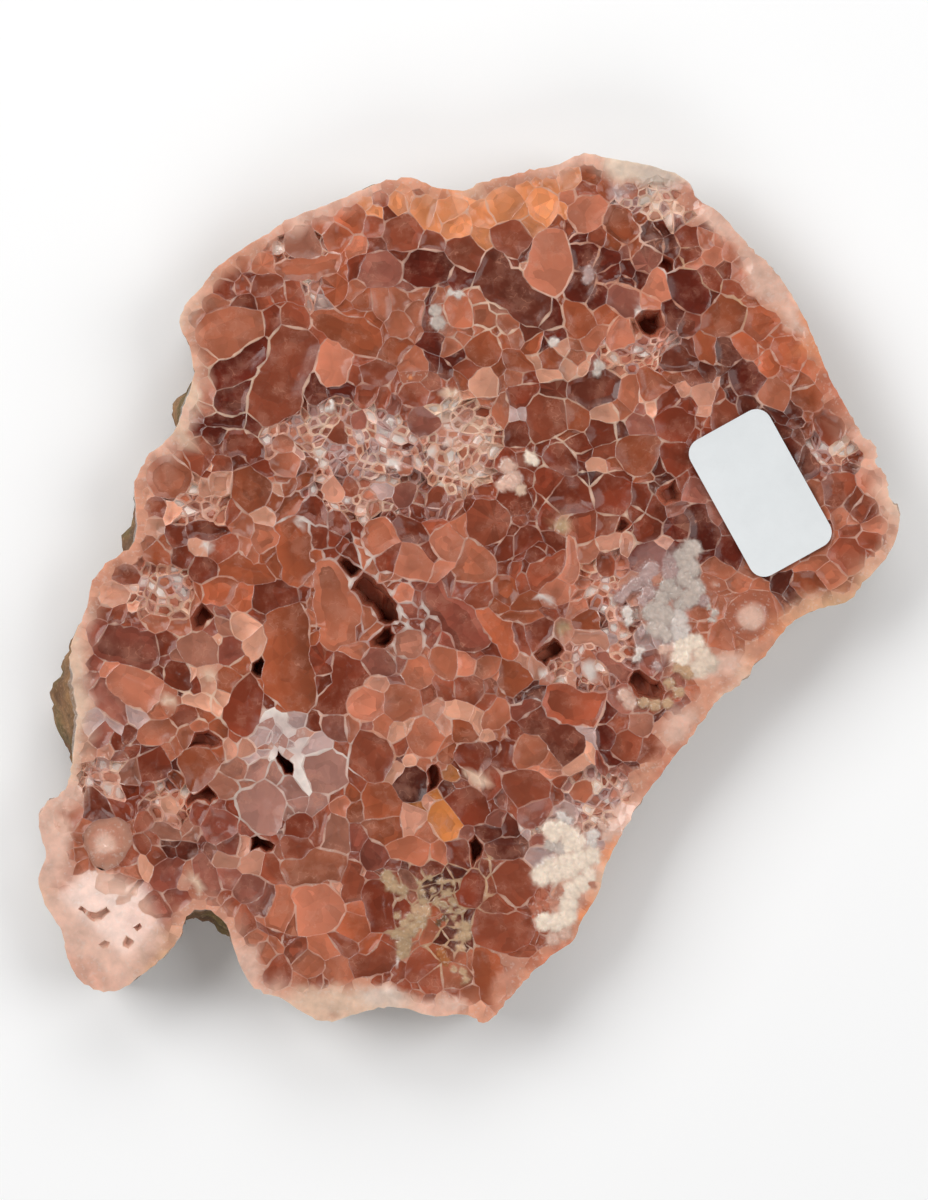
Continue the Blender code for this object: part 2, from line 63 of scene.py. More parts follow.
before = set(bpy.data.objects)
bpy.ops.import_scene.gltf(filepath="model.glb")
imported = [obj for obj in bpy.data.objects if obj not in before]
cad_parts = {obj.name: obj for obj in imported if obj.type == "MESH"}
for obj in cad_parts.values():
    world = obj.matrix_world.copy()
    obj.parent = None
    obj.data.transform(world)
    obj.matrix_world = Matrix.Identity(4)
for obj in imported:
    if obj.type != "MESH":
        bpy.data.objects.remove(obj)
CAD_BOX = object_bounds()

MM = 0.001
SEED = 11
NOISE_SEED = 5

# ---------------------------------------------------------------- tints, as they look by daylight

TINTS = {
    "wine": "#5a261a", "hollow": "#a85f48", "oxblood": "#773320", "brick": "#8c452f", "rust": "#90492e",
    "ember": "#ad593a",
    "clay": "#a65f45", "salmon": "#b96f55", "peach": "#cb9076", "orange": "#d58557", "ochre": "#ac6736",
    "rose": "#c0846d", "mauve": "#8b5042", "plum": "#854435", "ash": "#996b5f", "taupe": "#98604d",
    "lilac": "#b59690", "cream": "#dcbaa2", "milk": "#d9cac1", "olive": "#b89775", "tan": "#c49d7b",
    "blush": "#dbb29f", "chalk": "#c4b3a8", "shell": "#f4dfcb", "snow": "#eadbd2", "ivory": "#e0c9b5",
    "garnet": "#5d2115", "liver": "#6d3324",
    "umber": "#6d4a2c", "moss": "#66592f", "earth": "#906b47",
}


def linear(code):
    """The linear colour of a tint's name or of a web code."""
    code = TINTS.get(code, code).lstrip("#")
    parts = [int(code[i:i + 2], 16) / 255 for i in (0, 2, 4)]
    return np.array([p / 12.92 if p <= 0.04045 else ((p + 0.055) / 1.055) ** 2.4 for p in parts])


# ---------------------------------------------------------------- the slab

THICKNESS = 12.0
EDGE_STEP = 1.5
GAUGE_STEP = 1.0
CURVE_STEPS = 12
RIM = 0.65
UNDERCUT = 0.9
WALL_LEVELS = (0.97, 0.92, 0.85, 0.76, 0.66, 0.56, 0.45, 0.34, 0.23, 0.13, 0.05)
LUMP_HEIGHT = 1.2
LUMP_SPAN = 6.5
KNOB_HEIGHT = 1.6
KNOB_SPAN = 3.1
GRIT_HEIGHT = 0.35
GRIT_SPAN = 0.9
BULGE_SHARE = 0.45
SKIN_LEVEL = 0.9
SKIN_DEPTH = 1.2
SKIN_FADE = 2.0
BACK_TINT = "#b0897c"
BACK_FADE = 3.5
BACK_VEIN_FROM = 0.8

# The cut edge of the face, clockwise from the left shoulder
CUT_EDGE = (
    (-38.7, 31.5), (-39.2, 34.1), (-40.4, 36.6), (-39.7, 39.4), (-37.5, 41.7), (-35.6, 44.3), (-32.1, 47.0),
    (-29.0, 48.9), (-25.8, 50.9), (-23.0, 52.3), (-18.4, 54.0), (-14.5, 55.7), (-8.9, 57.3), (-5.3, 56.1),
    (-2.1, 55.5), (0.1, 55.6), (2.3, 56.8), (7.6, 57.9), (12.7, 59.2), (16.3, 60.7), (19.5, 60.0),
    (25.1, 59.0), (30.2, 57.1), (32.3, 54.3), (34.9, 52.5), (38.0, 49.2), (41.0, 46.1), (44.0, 42.7),
    (46.4, 38.7), (48.6, 34.3), (50.3, 29.8), (52.4, 25.9), (55.0, 21.4), (57.1, 19.6), (57.2, 17.2),
    (58.7, 15.2), (58.8, 12.6), (60.3, 10.4), (59.8, 6.4), (57.8, 3.2), (55.5, 0.6), (53.3, -2.0),
    (48.3, -3.5), (45.0, -5.3), (42.2, -8.8), (39.3, -12.0), (38.0, -13.9), (34.7, -16.1), (32.3, -19.6),
    (29.5, -23.0), (26.0, -27.6), (23.5, -31.0), (21.5, -34.8), (19.2, -39.2), (18.2, -42.9), (15.6, -47.3),
    (14.8, -49.4), (11.5, -51.9), (8.0, -55.0), (4.6, -59.2), (2.3, -61.0), (-0.5, -60.0), (-4.8, -60.2),
    (-10.0, -59.0), (-15.5, -59.8), (-19.5, -61.0), (-23.0, -59.7), (-26.5, -57.6), (-29.5, -56.7),
    (-31.8, -53.5), (-33.1, -49.8), (-34.3, -46.9), (-37.6, -45.2), (-39.6, -46.6), (-40.6, -49.6),
    (-43.8, -52.8), (-47.0, -55.3), (-50.3, -56.8), (-54.0, -55.6), (-56.2, -52.0), (-57.0, -48.2),
    (-58.9, -45.2), (-60.2, -41.0), (-59.2, -37.6), (-60.2, -33.0), (-58.8, -30.3), (-56.0, -27.4),
    (-55.2, -22.0), (-54.9, -18.0), (-55.2, -13.5), (-55.9, -10.0), (-55.0, -6.4), (-53.4, -3.0),
    (-52.7, 0.3), (-50.3, 3.5), (-47.4, 5.3), (-46.5, 7.6), (-46.5, 10.6), (-46.7, 14.0), (-45.2, 17.9),
    (-42.5, 20.2), (-40.6, 22.8), (-39.8, 25.6), (-38.7, 28.6),
)

# Where the rind swells out below the cut edge: x, y, shift in x, shift in y, reach
RIND_SWELLS = (
    (-39.8, 25.6, -2.6, 0.3, 3.6), (-46.7, 7.2, -2.9, 0.1, 3.4), (-55.0, -17.0, -4.9, 0.0, 6.6),
    (-36.0, -46.0, -0.3, -3.4, 4.0), (-58.2, -46.2, -0.9, -0.7, 2.2),
)

# ---------------------------------------------------------------- the crystals

# Cut crystals by tint: x, y, half width, and for the long ones length and bearing in degrees
CRYSTALS = {
    "wine": (
        (23.4, 20.6, 0.9), (33.4, 40.2, 0.9), (21.6, 22.4, 0.8), (27.0, 15.2, 0.9), (16.4, 14.8, 0.9),
        (35.4, 30.2, 0.9), (25.3, 49.2, 1.2), (28.2, 47.3, 1.6), (43.2, 24.5, 0.9, 1.0, -50),
        (39.8, 25.3, 1.8), (53.2, 16.6, 1.0), (-17.4, 7.0, 0.4), (-45.2, -23.3, 0.8), (-8.0, -27.5, 2.5),
        (8.6, -13.4, 0.9), (9.4, -15.3, 0.7, 1.0, 20), (44.2, -2.3, 0.8, 1.0, -60), (-46.8, -42.6, 0.6),
        (-41.8, -37.0, 0.6), (5.6, -36.6, 1.6, 3.0, 10), (-8.9, 20.0, 0.5), (-3.9, -40.8, 0.9),
        (-4.1, -43.4, 0.4), (-2.4, -45.4, 0.5), (-2.6, -47.1, 0.8), (-8.9, -39.9, 0.6), (-2.8, -49.0, 0.5),
    ),
    "garnet": (
        (-5.8, 44.2, 2.5, 1.8, -20), (-32.0, 31.2, 2.3, 4.2, 28), (-32.9, 26.3, 2.2),
        (-33.8, 23.0, 1.1, 3.0, -12), (-4.8, 34.2, 1.8), (10.3, 38.6, 1.9, 1.0, -60), (15.8, 46.7, 1.8),
        (18.8, 45.6, 1.6), (19.6, 43.2, 1.3), (30.9, 41.3, 2.6, 1.6, -70), (39.2, 29.4, 2.2, 1.0, -60),
        (-17.6, 27.6, 1.3, 1.8, -20), (19.9, -20.7, 1.4), (18.7, -24.2, 1.0), (29.0, 7.9, 1.9),
        (32.0, 8.4, 2.0, 2.0, -75), (33.0, 4.2, 0.9),
    ),
    "liver": (
        (6.0, 41.9, 2.8, 7.4, -44), (4.6, 45.8, 1.1, 1.5, -45), (11.4, -20.6, 2.5, 4.6, -36),
        (30.7, 36.6, 1.7), (17.0, 27.9, 2.4, 3.0, 4),
    ),
    "oxblood": (
        (-31.4, 19.6, 2.1, 2.4, -8), (-34.4, 19.6, 0.8), (14.3, 12.3, 2.6), (29.5, 17.9, 2.5),
        (25.0, 8.0, 2.3), (24.0, 12.6, 1.8), (-12.8, 47.9, 1.2), (-31.5, 39.5, 1.5), (33.9, 43.1, 1.4),
        (31.3, 46.4, 1.0), (31.0, 29.2, 1.3), (8.0, 26.3, 1.3, 1.0, 10), (7.0, 21.7, 2.0), (13.5, 17.4, 2.3),
        (15.6, 19.9, 1.2), (18.5, 21.8, 1.7), (28.8, 22.3, 2.4), (20.0, 12.6, 2.7), (8.0, 6.4, 1.5, 2.2, 40),
        (11.5, 6.4, 1.1, 1.5, -45), (-36.3, 7.9, 1.5, 2.0, -5), (-37.2, 2.2, 2.3),
        (-21.8, 7.0, 1.1, 1.5, -60), (-21.7, 10.4, 1.7), (-10.6, 9.4, 0.8), (-7.0, 11.1, 0.9),
        (-42.1, -8.2, 1.8), (-40.8, -12.7, 2.0), (-31.6, -16.6, 2.6, 4.0, 70), (-46.9, -22.9, 1.1),
        (-47.3, -28.2, 0.8), (-27.0, -1.6, 2.3, 2.0, 0), (-17.4, -14.4, 2.0, 6.0, 66),
        (1.4, -8.0, 1.0, 3.0, -60), (7.2, -7.2, 1.5), (13.3, -2.5, 0.9), (11.0, -3.7, 0.7),
        (5.6, -23.4, 0.9, 3.0, -85), (0.0, -30.6, 2.6), (-47.0, -30.5, 0.7, 1.5, 85), (-37.5, -32.0, 1.7),
        (-23.4, -33.2, 1.9), (-13.0, -45.0, 2.2, 3.0, -80), (-6.2, -39.4, 1.0), (-10.0, -45.9, 1.7),
        (0.1, -42.4, 2.2, 2.4, 80), (-11.0, -43.9, 0.7),
    ),
    "brick": (
        (-26.2, 29.5, 3.9, 6.5, 68), (-8.8, 50.1, 3.0), (-24.5, 37.3, 2.5), (-28.8, 42.0, 1.6),
        (-12.3, 30.0, 2.2), (-7.2, 27.2, 1.8), (-5.5, 28.9, 1.1), (-15.4, 29.6, 0.9), (-0.7, 46.8, 2.2),
        (5.4, 48.8, 2.4), (16.5, 55.4, 1.3), (35.9, 23.6, 2.3), (50.6, 22.6, 1.5, 1.8, -25),
        (51.5, 14.2, 2.3), (55.2, 10.9, 1.2), (53.3, 4.2, 2.5), (11.0, 23.2, 3.0), (19.3, 18.9, 1.5),
        (19.2, 8.7, 1.6), (2.6, 8.8, 2.8), (11.2, 2.6, 1.6, 2.4, 35), (19.5, 2.8, 1.5), (-37.8, 18.3, 2.3),
        (-43.7, 11.0, 1.7), (-34.5, 5.5, 1.7), (-33.0, 10.5, 1.2), (-48.2, 1.8, 1.5), (-5.0, 12.8, 1.2),
        (-16.0, 14.3, 1.3), (-18.4, 21.4, 1.4), (-49.0, -4.5, 1.2), (-46.8, -4.9, 0.8), (-33.0, -20.6, 1.3),
        (-40.3, -18.6, 1.2, 1.5, 0), (-16.3, -5.8, 1.3), (-13.6, -23.6, 3.3), (1.8, -1.6, 1.5),
        (-3.5, -14.1, 0.8, 2.0, -20), (0.0, -14.2, 1.8), (15.0, -16.8, 2.4, 4.0, -10), (22.9, -21.8, 1.9),
        (8.2, -28.0, 2.7), (-45.5, -33.0, 1.5), (-45.2, -36.4, 1.2), (-33.2, -45.0, 1.1),
        (-20.8, -33.0, 0.9, 2.0, 90), (-24.2, -36.2, 2.3), (-27.0, -40.3, 1.3, 2.5, -35),
        (-16.0, -41.0, 1.6, 3.5, 80), (-27.0, -48.3, 1.1), (-13.4, -52.8, 1.9, 2.6, 20), (-6.9, -53.0, 2.2),
        (-1.8, -57.2, 0.8), (-24.0, -51.0, 1.3), (6.6, -41.2, 2.9), (4.4, -48.0, 2.5, 3.0, 12),
        (14.6, 50.4, 1.0), (37.8, 41.6, 1.4),
    ),
    "rust": (
        (21.5, 50.9, 1.9, 2.2, 100), (-1.9, -51.8, 0.8), (-5.0, -45.9, 0.9), (-17.1, 35.8, 2.2, 5.5, -30),
        (15.1, 37.9, 2.7), (2.2, 33.2, 2.6), (6.9, 31.4, 1.9), (14.6, 52.6, 0.9), (36.0, 37.5, 3.2),
        (47.6, 26.4, 1.8), (25.7, 28.6, 2.4), (47.9, -0.2, 1.9), (15.0, 23.9, 1.9), (23.6, 18.6, 2.9),
        (-30.8, 13.4, 3.1), (-40.2, 17.4, 1.2), (-43.6, 4.2, 1.8), (-31.0, 1.8, 1.7, 5.0, -24),
        (-24.2, 5.0, 1.9, 6.5, -82), (-24.9, 11.4, 1.3, 1.8, 30), (-22.5, 17.0, 1.2), (-33.8, -13.0, 1.6),
        (-37.5, -18.4, 1.3), (-38.0, -25.8, 2.8), (-25.0, -10.2, 3.7, 8.5, -82), (7.4, -4.4, 1.1, 3.0, -8),
        (6.0, -12.6, 2.6), (17.0, -5.3, 1.4), (-0.4, -20.4, 1.8), (-12.6, -29.8, 2.5),
        (2.8, -54.6, 2.2, 4.0, -75),
    ),
    "ember": (
        (41.4, 36.6, 2.4), (39.4, 33.6, 1.8), (42.1, 31.4, 1.3), (45.2, 32.6, 2.2), (48.0, 30.3, 1.5),
        (44.8, 29.6, 1.2), (-31.6, -2.0, 1.6), (4.4, -6.6, 1.5, 4.0, -65), (-16.4, -47.8, 1.8),
        (-17.6, 45.9, 1.0),
    ),
    "clay": (
        (-0.4, 38.8, 2.0), (2.8, 37.7, 1.2, 2.0, -42), (-7.3, 38.0, 1.2), (-22.3, 44.7, 2.0, 5.5, 15),
        (-33.7, 36.0, 2.9, 3.5, 18), (-7.7, 30.9, 1.8), (43.4, 27.2, 2.2), (22.2, 27.4, 2.0),
        (21.0, 25.2, 1.1), (51.8, 9.8, 2.0), (48.0, 3.0, 1.6, 1.0, 20), (4.3, 24.9, 1.9), (0.8, 3.4, 3.1),
        (6.5, 28.7, 1.1), (-31.5, 8.3, 1.8), (-42.3, 15.3, 2.9), (-28.6, 6.6, 2.1), (-12.7, 7.3, 2.5),
        (-26.0, 17.3, 1.5), (-18.7, -3.0, 2.5, 7.5, -78), (-43.2, -5.0, 1.5), (-44.0, -20.3, 2.4),
        (-39.8, -21.6, 1.2), (-3.6, -11.0, 2.4), (-9.2, -16.6, 2.7), (-6.3, -21.4, 2.6), (2.0, -11.6, 1.3),
        (4.0, -17.8, 2.2), (8.6, -22.8, 2.3), (15.5, -28.5, 1.2), (40.2, -0.2, 1.6), (36.8, -2.6, 1.2),
        (43.0, -3.0, 1.2), (35.6, -7.0, 2.0), (-47.3, -40.0, 0.8), (-49.2, -41.4, 1.3, 2.0, -15),
        (-21.5, -39.2, 2.3, 5.0, 5), (-26.2, -44.6, 1.5, 4.0, 80), (-8.4, -37.0, 2.4), (-5.6, -49.0, 1.5),
        (-2.4, -55.0, 1.7), (-19.8, -51.2, 1.5), (17.2, 34.4, 2.1), (-31.4, 45.4, 1.4), (-47.2, -33.6, 1.0),
    ),
    "salmon": (
        (-18.4, 31.4, 3.2), (11.1, 45.2, 3.6, 3.0, 78), (16.8, 52.4, 2.8), (26.8, 42.0, 2.0),
        (21.0, 35.3, 1.8), (34.4, 46.0, 1.4), (56.3, 14.4, 1.9), (57.2, 8.4, 1.3), (14.3, 3.5, 1.0, 4.0, 85),
        (-8.3, 3.0, 2.4), (-25.7, 19.8, 1.3), (-46.6, -14.2, 2.7, 1.8, -40), (-14.6, -16.8, 2.0),
        (-0.4, -11.2, 1.2), (15.5, -2.9, 1.3), (-17.5, -31.2, 1.2), (-21.3, -45.2, 3.5), (8.0, -23.8, 0.8),
        (38.6, 45.0, 1.2),
    ),
    "peach": (
        (23.9, 26.9, 0.8), (19.3, 24.5, 1.2), (18.5, 17.2, 1.2), (10.8, 29.5, 1.4), (2.0, 28.5, 1.8),
        (-35.0, 14.5, 1.6), (-37.3, 14.3, 1.1), (-41.5, 10.5, 1.3), (-44.2, 8.2, 1.1), (-28.5, 10.3, 1.2),
        (-47.0, -3.2, 0.7), (-38.3, -15.8, 1.4, 1.5, 0), (-35.6, -16.3, 0.9), (-31.8, -5.5, 1.8),
        (-8.3, -24.2, 0.9), (1.3, -18.6, 0.7, 2.0, 90), (14.5, -24.6, 1.3), (-42.0, -30.3, 1.0),
        (-45.0, -39.2, 1.0), (15.5, -40.5, 1.3), (4.4, 44.6, 0.7), (16.6, 31.9, 0.6),
    ),
    "orange": (
        (-6.4, 52.6, 2.2), (-2.1, 52.8, 1.9), (-1.1, 50.3, 1.4), (2.1, 52.0, 1.9), (5.0, 53.9, 2.2),
        (10.2, 53.4, 2.4), (7.8, 55.6, 1.2), (0.0, 54.3, 0.9),
    ),
    "ochre": ((-3.4, -33.0, 2.6), (17.3, 33.8, 0.9)),
    "rose": (
        (32.4, 27.0, 1.8), (22.3, 5.8, 1.3), (20.0, 5.6, 1.1), (-18.5, 13.3, 1.6), (-53.0, -23.5, 1.5),
        (-13.0, -14.0, 1.1), (-31.4, -22.2, 1.0), (-4.4, -17.2, 1.6), (7.0, -9.8, 1.0),
        (17.5, -7.6, 1.2, 3.0, 0), (-50.4, -36.0, 3.3), (-33.5, -38.5, 1.3), (-18.8, -42.0, 1.0),
        (-14.6, -39.6, 1.0), (-8.2, -32.3, 1.4),
    ),
    "mauve": (
        (-11.7, 43.9, 2.9), (24.5, 45.5, 1.5), (21.6, 39.8, 2.2), (17.7, 30.7, 1.3), (-5.8, 23.2, 2.2),
        (24.0, 22.9, 1.8, 1.6, -15), (29.5, 10.8, 1.2), (-9.7, 13.0, 1.9), (-14.4, 22.8, 1.2),
        (-50.2, -16.6, 1.6, 4.0, -60), (-51.2, -21.3, 1.3), (-18.7, -20.0, 1.7), (-12.3, -11.0, 2.1),
        (20.4, -11.3, 1.1, 3.0, -35), (-36.3, -40.6, 1.6, 2.4, -70), (-28.4, -44.0, 1.0, 2.0, 75),
        (9.0, -31.6, 2.1), (3.4, -32.4, 1.0),
    ),
    "plum": (
        (-47.5, -8.8, 2.6, 4.6, -10), (-34.0, -9.0, 1.7), (-2.0, -4.4, 2.4, 7.5, -50),
        (7.8, -17.0, 1.3, 2.0, 20), (18.5, -24.4, 1.3), (-34.9, -34.0, 2.4), (-42.0, -40.4, 2.3),
        (-43.9, -45.0, 1.9), (-12.8, -37.6, 1.6, 1.5, -50),
    ),
    "ash": ((-19.7, -26.4, 3.4), (-27.4, -26.8, 1.4), (-29.0, -31.0, 3.5), (-24.4, -30.2, 0.9)),
    "taupe": (
        (-23.5, 48.4, 2.4), (-36.6, 27.4, 2.1), (-37.7, -9.0, 2.4), (-47.0, -26.3, 1.3), (-32.6, -25.2, 1.8),
        (-8.4, -8.4, 2.0), (24.2, -18.8, 1.6), (-42.5, -34.0, 1.4), (-38.8, -34.6, 1.2), (-48.0, -44.0, 1.0),
        (-18.2, -34.4, 2.3), (-8.4, -43.6, 1.0), (5.4, 38.6, 0.8),
    ),
    "lilac": (
        (7.9, 24.2, 0.7), (-12.4, 13.4, 1.1), (-49.5, -19.6, 1.3), (-23.6, -18.6, 1.4), (-26.6, -21.3, 1.2),
        (-24.0, -22.2, 0.5), (-29.3, -20.6, 1.1), (20.2, -7.2, 0.8), (16.9, -19.6, 0.7, 2.0, 55),
        (8.3, -34.4, 0.7),
    ),
}

# Open hollows between the crystals: x, y, half width, depth, and length and bearing of the long ones
HOLLOWS = (
    (24.9, 37.1, 1.7, 6.0), (28.2, 44.7, 0.7, 3.0, 1.2, -15), (28.2, 13.4, 1.6, 3.0), (-37.5, -4.2, 1.7, 4.0),
    (-28.8, -11.4, 1.3, 4.5), (-13.0, -1.6, 1.9, 6.0, 6.0, -57), (-17.5, 2.9, 1.1, 4.5),
    (-11.8, -7.4, 1.4, 5.0), (-25.4, -24.9, 0.8, 6.0, 1.5, -50), (-37.4, -21.9, 1.1, 3.0, 1.6, 0),
    (-37.2, -29.6, 1.3, 3.0, 3.0, 0), (-29.2, -36.5, 1.2, 4.5, 1.2, -25), (11.5, -8.8, 1.2, 4.0, 1.5, 20),
    (25.0, -13.4, 1.2, 3.5, 2.8, -28), (0.9, -36.8, 1.7, 5.0), (-4.6, -26.8, 1.1, 3.5, 1.6, -80),
    (20.9, 8.4, 1.3, 2.5), (-51.0, -45.5, 0.7, 1.2, 1.3, 20), (-53.3, -45.1, 0.4, 0.8),
    (-46.7, -49.8, 0.6, 1.0), (-51.2, -50.0, 0.35, 0.7), (-45.5, -48.2, 0.4, 0.8),
)

# Sugary patches of small raised points: x, y, reach along x, reach along y, and their tints
SUGAR_PATCHES = (
    (-17.0, 20.5, 13.0, 6.0, "lilac", "rose"), (-1.5, 19.5, 6.0, 8.0, "cream", "rose"),
    (17.5, -10.0, 7.0, 5.0, "rose", "salmon"), (18.0, -30.0, 5.5, 4.6, "rose", "lilac"),
    (24.0, 33.0, 6.0, 3.5, "salmon", "rose"), (50.5, 19.0, 3.8, 3.6, "mauve", "rose"),
    (-44.0, -0.5, 5.5, 4.0, "peach", "salmon"), (-38.5, 11.5, 4.5, 3.5, "peach", "clay"),
    (-51.0, -27.0, 4.0, 3.0, "rose", "peach"), (-41.5, -30.0, 3.5, 2.5, "peach", "clay"),
    (19.5, 0.0, 3.8, 5.0, "salmon", "rose"), (21.5, -5.0, 3.2, 2.6, "lilac", "rose"),
    (-13.0, 12.6, 11.0, 3.4, "rose", "mauve"), (-23.0, 47.6, 5.4, 2.0, "rose", "lilac"),
    (-21.0, 41.5, 2.2, 1.8, "milk", "rose"), (27.0, 54.0, 7.5, 3.2, "lilac", "cream"),
    (9.4, -32.6, 2.6, 1.8, "lilac", "mauve"),
)

# Pale milky patches in the face: x, y, reach along the bearing, reach across it, bearing in degrees, tint,
# and for the faint ones the greatest share
PALE_PATCHES = (
    # the lobe and the pink swelling above it
    (-51.5, -48.5, 9.0, 9.0, 0, "blush"), (-58.5, -36.0, 3.6, 8.0, 0, "blush"),
    (-56.5, -29.5, 3.5, 3.0, 0, "blush"),
    # the left side
    (-55.6, -14.5, 1.9, 12.5, 0, "cream"), (-41.0, 22.0, 2.4, 2.2, 0, "cream"),
    (-39.2, 27.5, 1.8, 4.6, 5, "cream"), (-39.9, 20.4, 1.6, 1.6, 0, "cream"),
    # the foot
    (-17.0, -58.2, 11.5, 2.9, 0, "cream"), (-12.0, -57.6, 4.0, 1.6, -10, "milk"),
    (-30.8, -53.0, 2.4, 3.5, 0, "blush"), (-2.0, -58.8, 3.0, 1.6, 0, "blush"),
    (5.5, -54.6, 3.5, 1.3, 50, "rose"),
    # the top right shoulder
    (24.2, 58.0, 6.6, 2.5, -12, "ivory"), (25.8, 57.6, 3.6, 1.5, -14, "chalk"),
    (20.6, 55.5, 1.9, 1.4, 0, "lilac"), (34.6, 51.4, 4.6, 1.8, -46, "blush"),
    (41.4, 43.4, 6.6, 2.5, -53, "blush"), (45.6, 37.2, 4.6, 1.6, -62, "blush"),
    (30.6, 54.4, 2.4, 1.6, -70, "rose"),
    # the rim below the white plume
    (35.4, -11.4, 4.6, 2.0, 22, "blush"), (34.6, -14.6, 4.2, 2.0, 44, "peach"),
    (41.4, -8.6, 3.0, 1.5, 42, "peach"), (29.6, -19.6, 4.6, 2.3, 52, "blush"),
    (25.0, -26.2, 3.6, 1.8, 55, "peach"), (20.4, -33.0, 3.6, 1.7, 62, "blush"),
    (14.4, -48.4, 2.4, 1.3, 60, "peach"), (-54.2, -54.4, 4.8, 2.8, -20, "rose", 0.8),
    (-46.0, -46.4, 2.6, 2.0, 40, "rose", 0.5), (-57.0, -45.5, 3.0, 4.4, 0, "blush", 0.7),
    # a faint halo round the plume and the cream lobes
    (27.6, 0.0, 7.5, 4.6, 100, "lilac", 0.32), (14.5, -36.0, 5.5, 3.6, 110, "blush", 0.4),
    (-26.0, -21.0, 4.6, 3.4, -20, "lilac", 0.5), (31.0, -9.5, 3.6, 2.6, 20, "blush", 0.6),
    (14.0, -43.5, 4.4, 2.4, 70, "blush", 0.5),
    # small milky spots
    (-3.0, 27.3, 1.4, 1.3, 0, "cream"), (-36.5, -12.2, 1.2, 1.0, 0, "cream"),
    (-42.0, -16.2, 1.5, 1.0, 0, "cream"), (1.2, -27.0, 2.2, 1.2, -45, "cream"),
    (-38.2, -41.5, 2.2, 0.7, -58, "cream"), (-19.2, 25.1, 0.9, 0.8, 0, "milk"),
    (-36.7, 5.9, 1.0, 0.9, 0, "milk"), (-23.3, 9.2, 0.9, 0.8, 0, "milk"), (-5.9, 18.6, 1.0, 0.9, 0, "milk"),
    (-2.7, 19.7, 1.0, 0.9, 0, "milk"), (-10.9, 17.6, 1.1, 0.9, 0, "milk"), (10.7, -2.0, 1.8, 0.6, 0, "milk"),
    (13.0, -13.2, 0.9, 0.9, 0, "milk"), (16.8, -12.3, 1.6, 1.0, -60, "milk"),
    (10.4, -12.6, 1.0, 0.9, 0, "milk"), (-10.0, -52.8, 1.0, 0.5, 85, "milk"),
    (24.0, 38.9, 0.8, 0.6, 0, "milk"), (13.3, 8.6, 1.8, 1.5, 0, "olive"), (13.0, -5.9, 1.1, 0.9, 0, "olive"),
)

# Tint of the band along the cut edge: x, y, tint
RIM_TINTS = (
    (-41.0, 36.5, "ivory"), (0.0, 56.0, "cream"), (60.5, 9.0, "ivory"), (36.5, -14.0, "ivory"),
    (-57.0, -14.0, "ivory"), (-24.0, 53.0, "blush"), (-14.0, 57.0, "blush"), (-2.0, 56.0, "orange"),
    (6.0, 57.0, "peach"), (-10.0, 57.0, "peach"), (22.0, 60.0, "ivory"), (15.0, 60.0, "blush"),
    (28.0, 57.0, "ivory"), (31.5, 54.5, "rose"), (36.0, 51.0, "blush"), (44.0, 42.0, "blush"),
    (48.0, 35.0, "orange"), (51.0, 28.0, "salmon"), (57.0, 18.0, "blush"), (60.0, 8.0, "peach"),
    (52.0, -2.5, "tan"), (42.0, -9.0, "orange"), (37.0, -14.0, "cream"), (33.0, -18.5, "peach"),
    (27.0, -26.0, "salmon"), (22.0, -33.0, "blush"), (19.4, -37.2, "orange"), (18.3, -40.5, "cream"),
    (16.2, -46.0, "orange"), (13.0, -50.0, "salmon"), (3.0, -60.0, "peach"), (-8.0, -59.5, "blush"),
    (-20.0, -60.5, "cream"), (-31.0, -54.0, "blush"), (-36.0, -46.0, "rose"), (-44.0, -53.0, "tan"),
    (-50.0, -57.0, "blush"), (-55.5, -54.0, "rose"), (-58.0, -47.0, "cream"), (-60.0, -36.0, "blush"),
    (-55.5, -24.0, "cream"), (-55.5, -10.0, "blush"), (-51.0, 2.0, "peach"), (-46.5, 11.0, "peach"),
    (-41.0, 22.0, "blush"), (-39.5, 35.0, "peach"), (-33.0, 46.5, "peach"), (-20.0, 53.5, "blush"),
)

# Where the veins between crystals are broad: x, y, reach, added width, added strength, tint
VEIN_SWELLS = (
    (-25.0, -23.0, 7.5, 0.14, 0.9, "milk"), (-16.0, 2.0, 4.5, 0.25, 0.5, "milk"),
    (-9.0, -4.0, 5.0, 0.25, 0.5, "milk"), (-38.0, -12.0, 10.0, 0.02, 0.1, "cream"),
    (23.0, 44.0, 12.0, 0.02, 0.2, "peach"), (14.0, 20.0, 11.0, 0.02, 0.15, "cream"),
    (-33.0, 27.0, 6.0, 0.04, 0.3, "cream"), (5.0, 40.0, 9.0, 0.05, 0.25, "cream"),
    (12.0, -20.5, 6.0, 0.06, 0.2, "peach"), (-4.0, -45.0, 7.0, 0.14, 0.9, "olive"),
    (-28.0, 31.0, 6.0, 0.04, 0.3, "cream"), (21.0, 8.0, 4.0, 0.10, 0.4, "cream"),
    (-24.0, 9.0, 4.0, 0.10, 0.4, "milk"), (12.0, -14.0, 5.0, 0.05, 0.2, "milk"),
)
VEIN_TINT = "#cba290"

# A border's vein takes its strength from one of these spans
VEIN_LUCK = ((0.0, 0.1), (0.0, 0.25), (0.1, 0.5), (0.4, 1.0))

LABEL_CENTRE = (40.85, 13.05)
LABEL_BEARING = 29.0

# Round beads: x, y, half width, the core's share of it, tint of the border and of the core
BEADS = (
    (39.8, -3.8, 3.3, 0.6, "clay", "blush"), (34.4, 0.3, 1.6, 0.4, "clay", "rose"),
    (-50.4, -36.0, 3.3, 0.5, "rose", "blush"), (-4.4, -17.4, 1.0, 0.6, "salmon", "cream"),
    (-7.6, 30.2, 1.6, 0.3, "clay", "orange"),
)

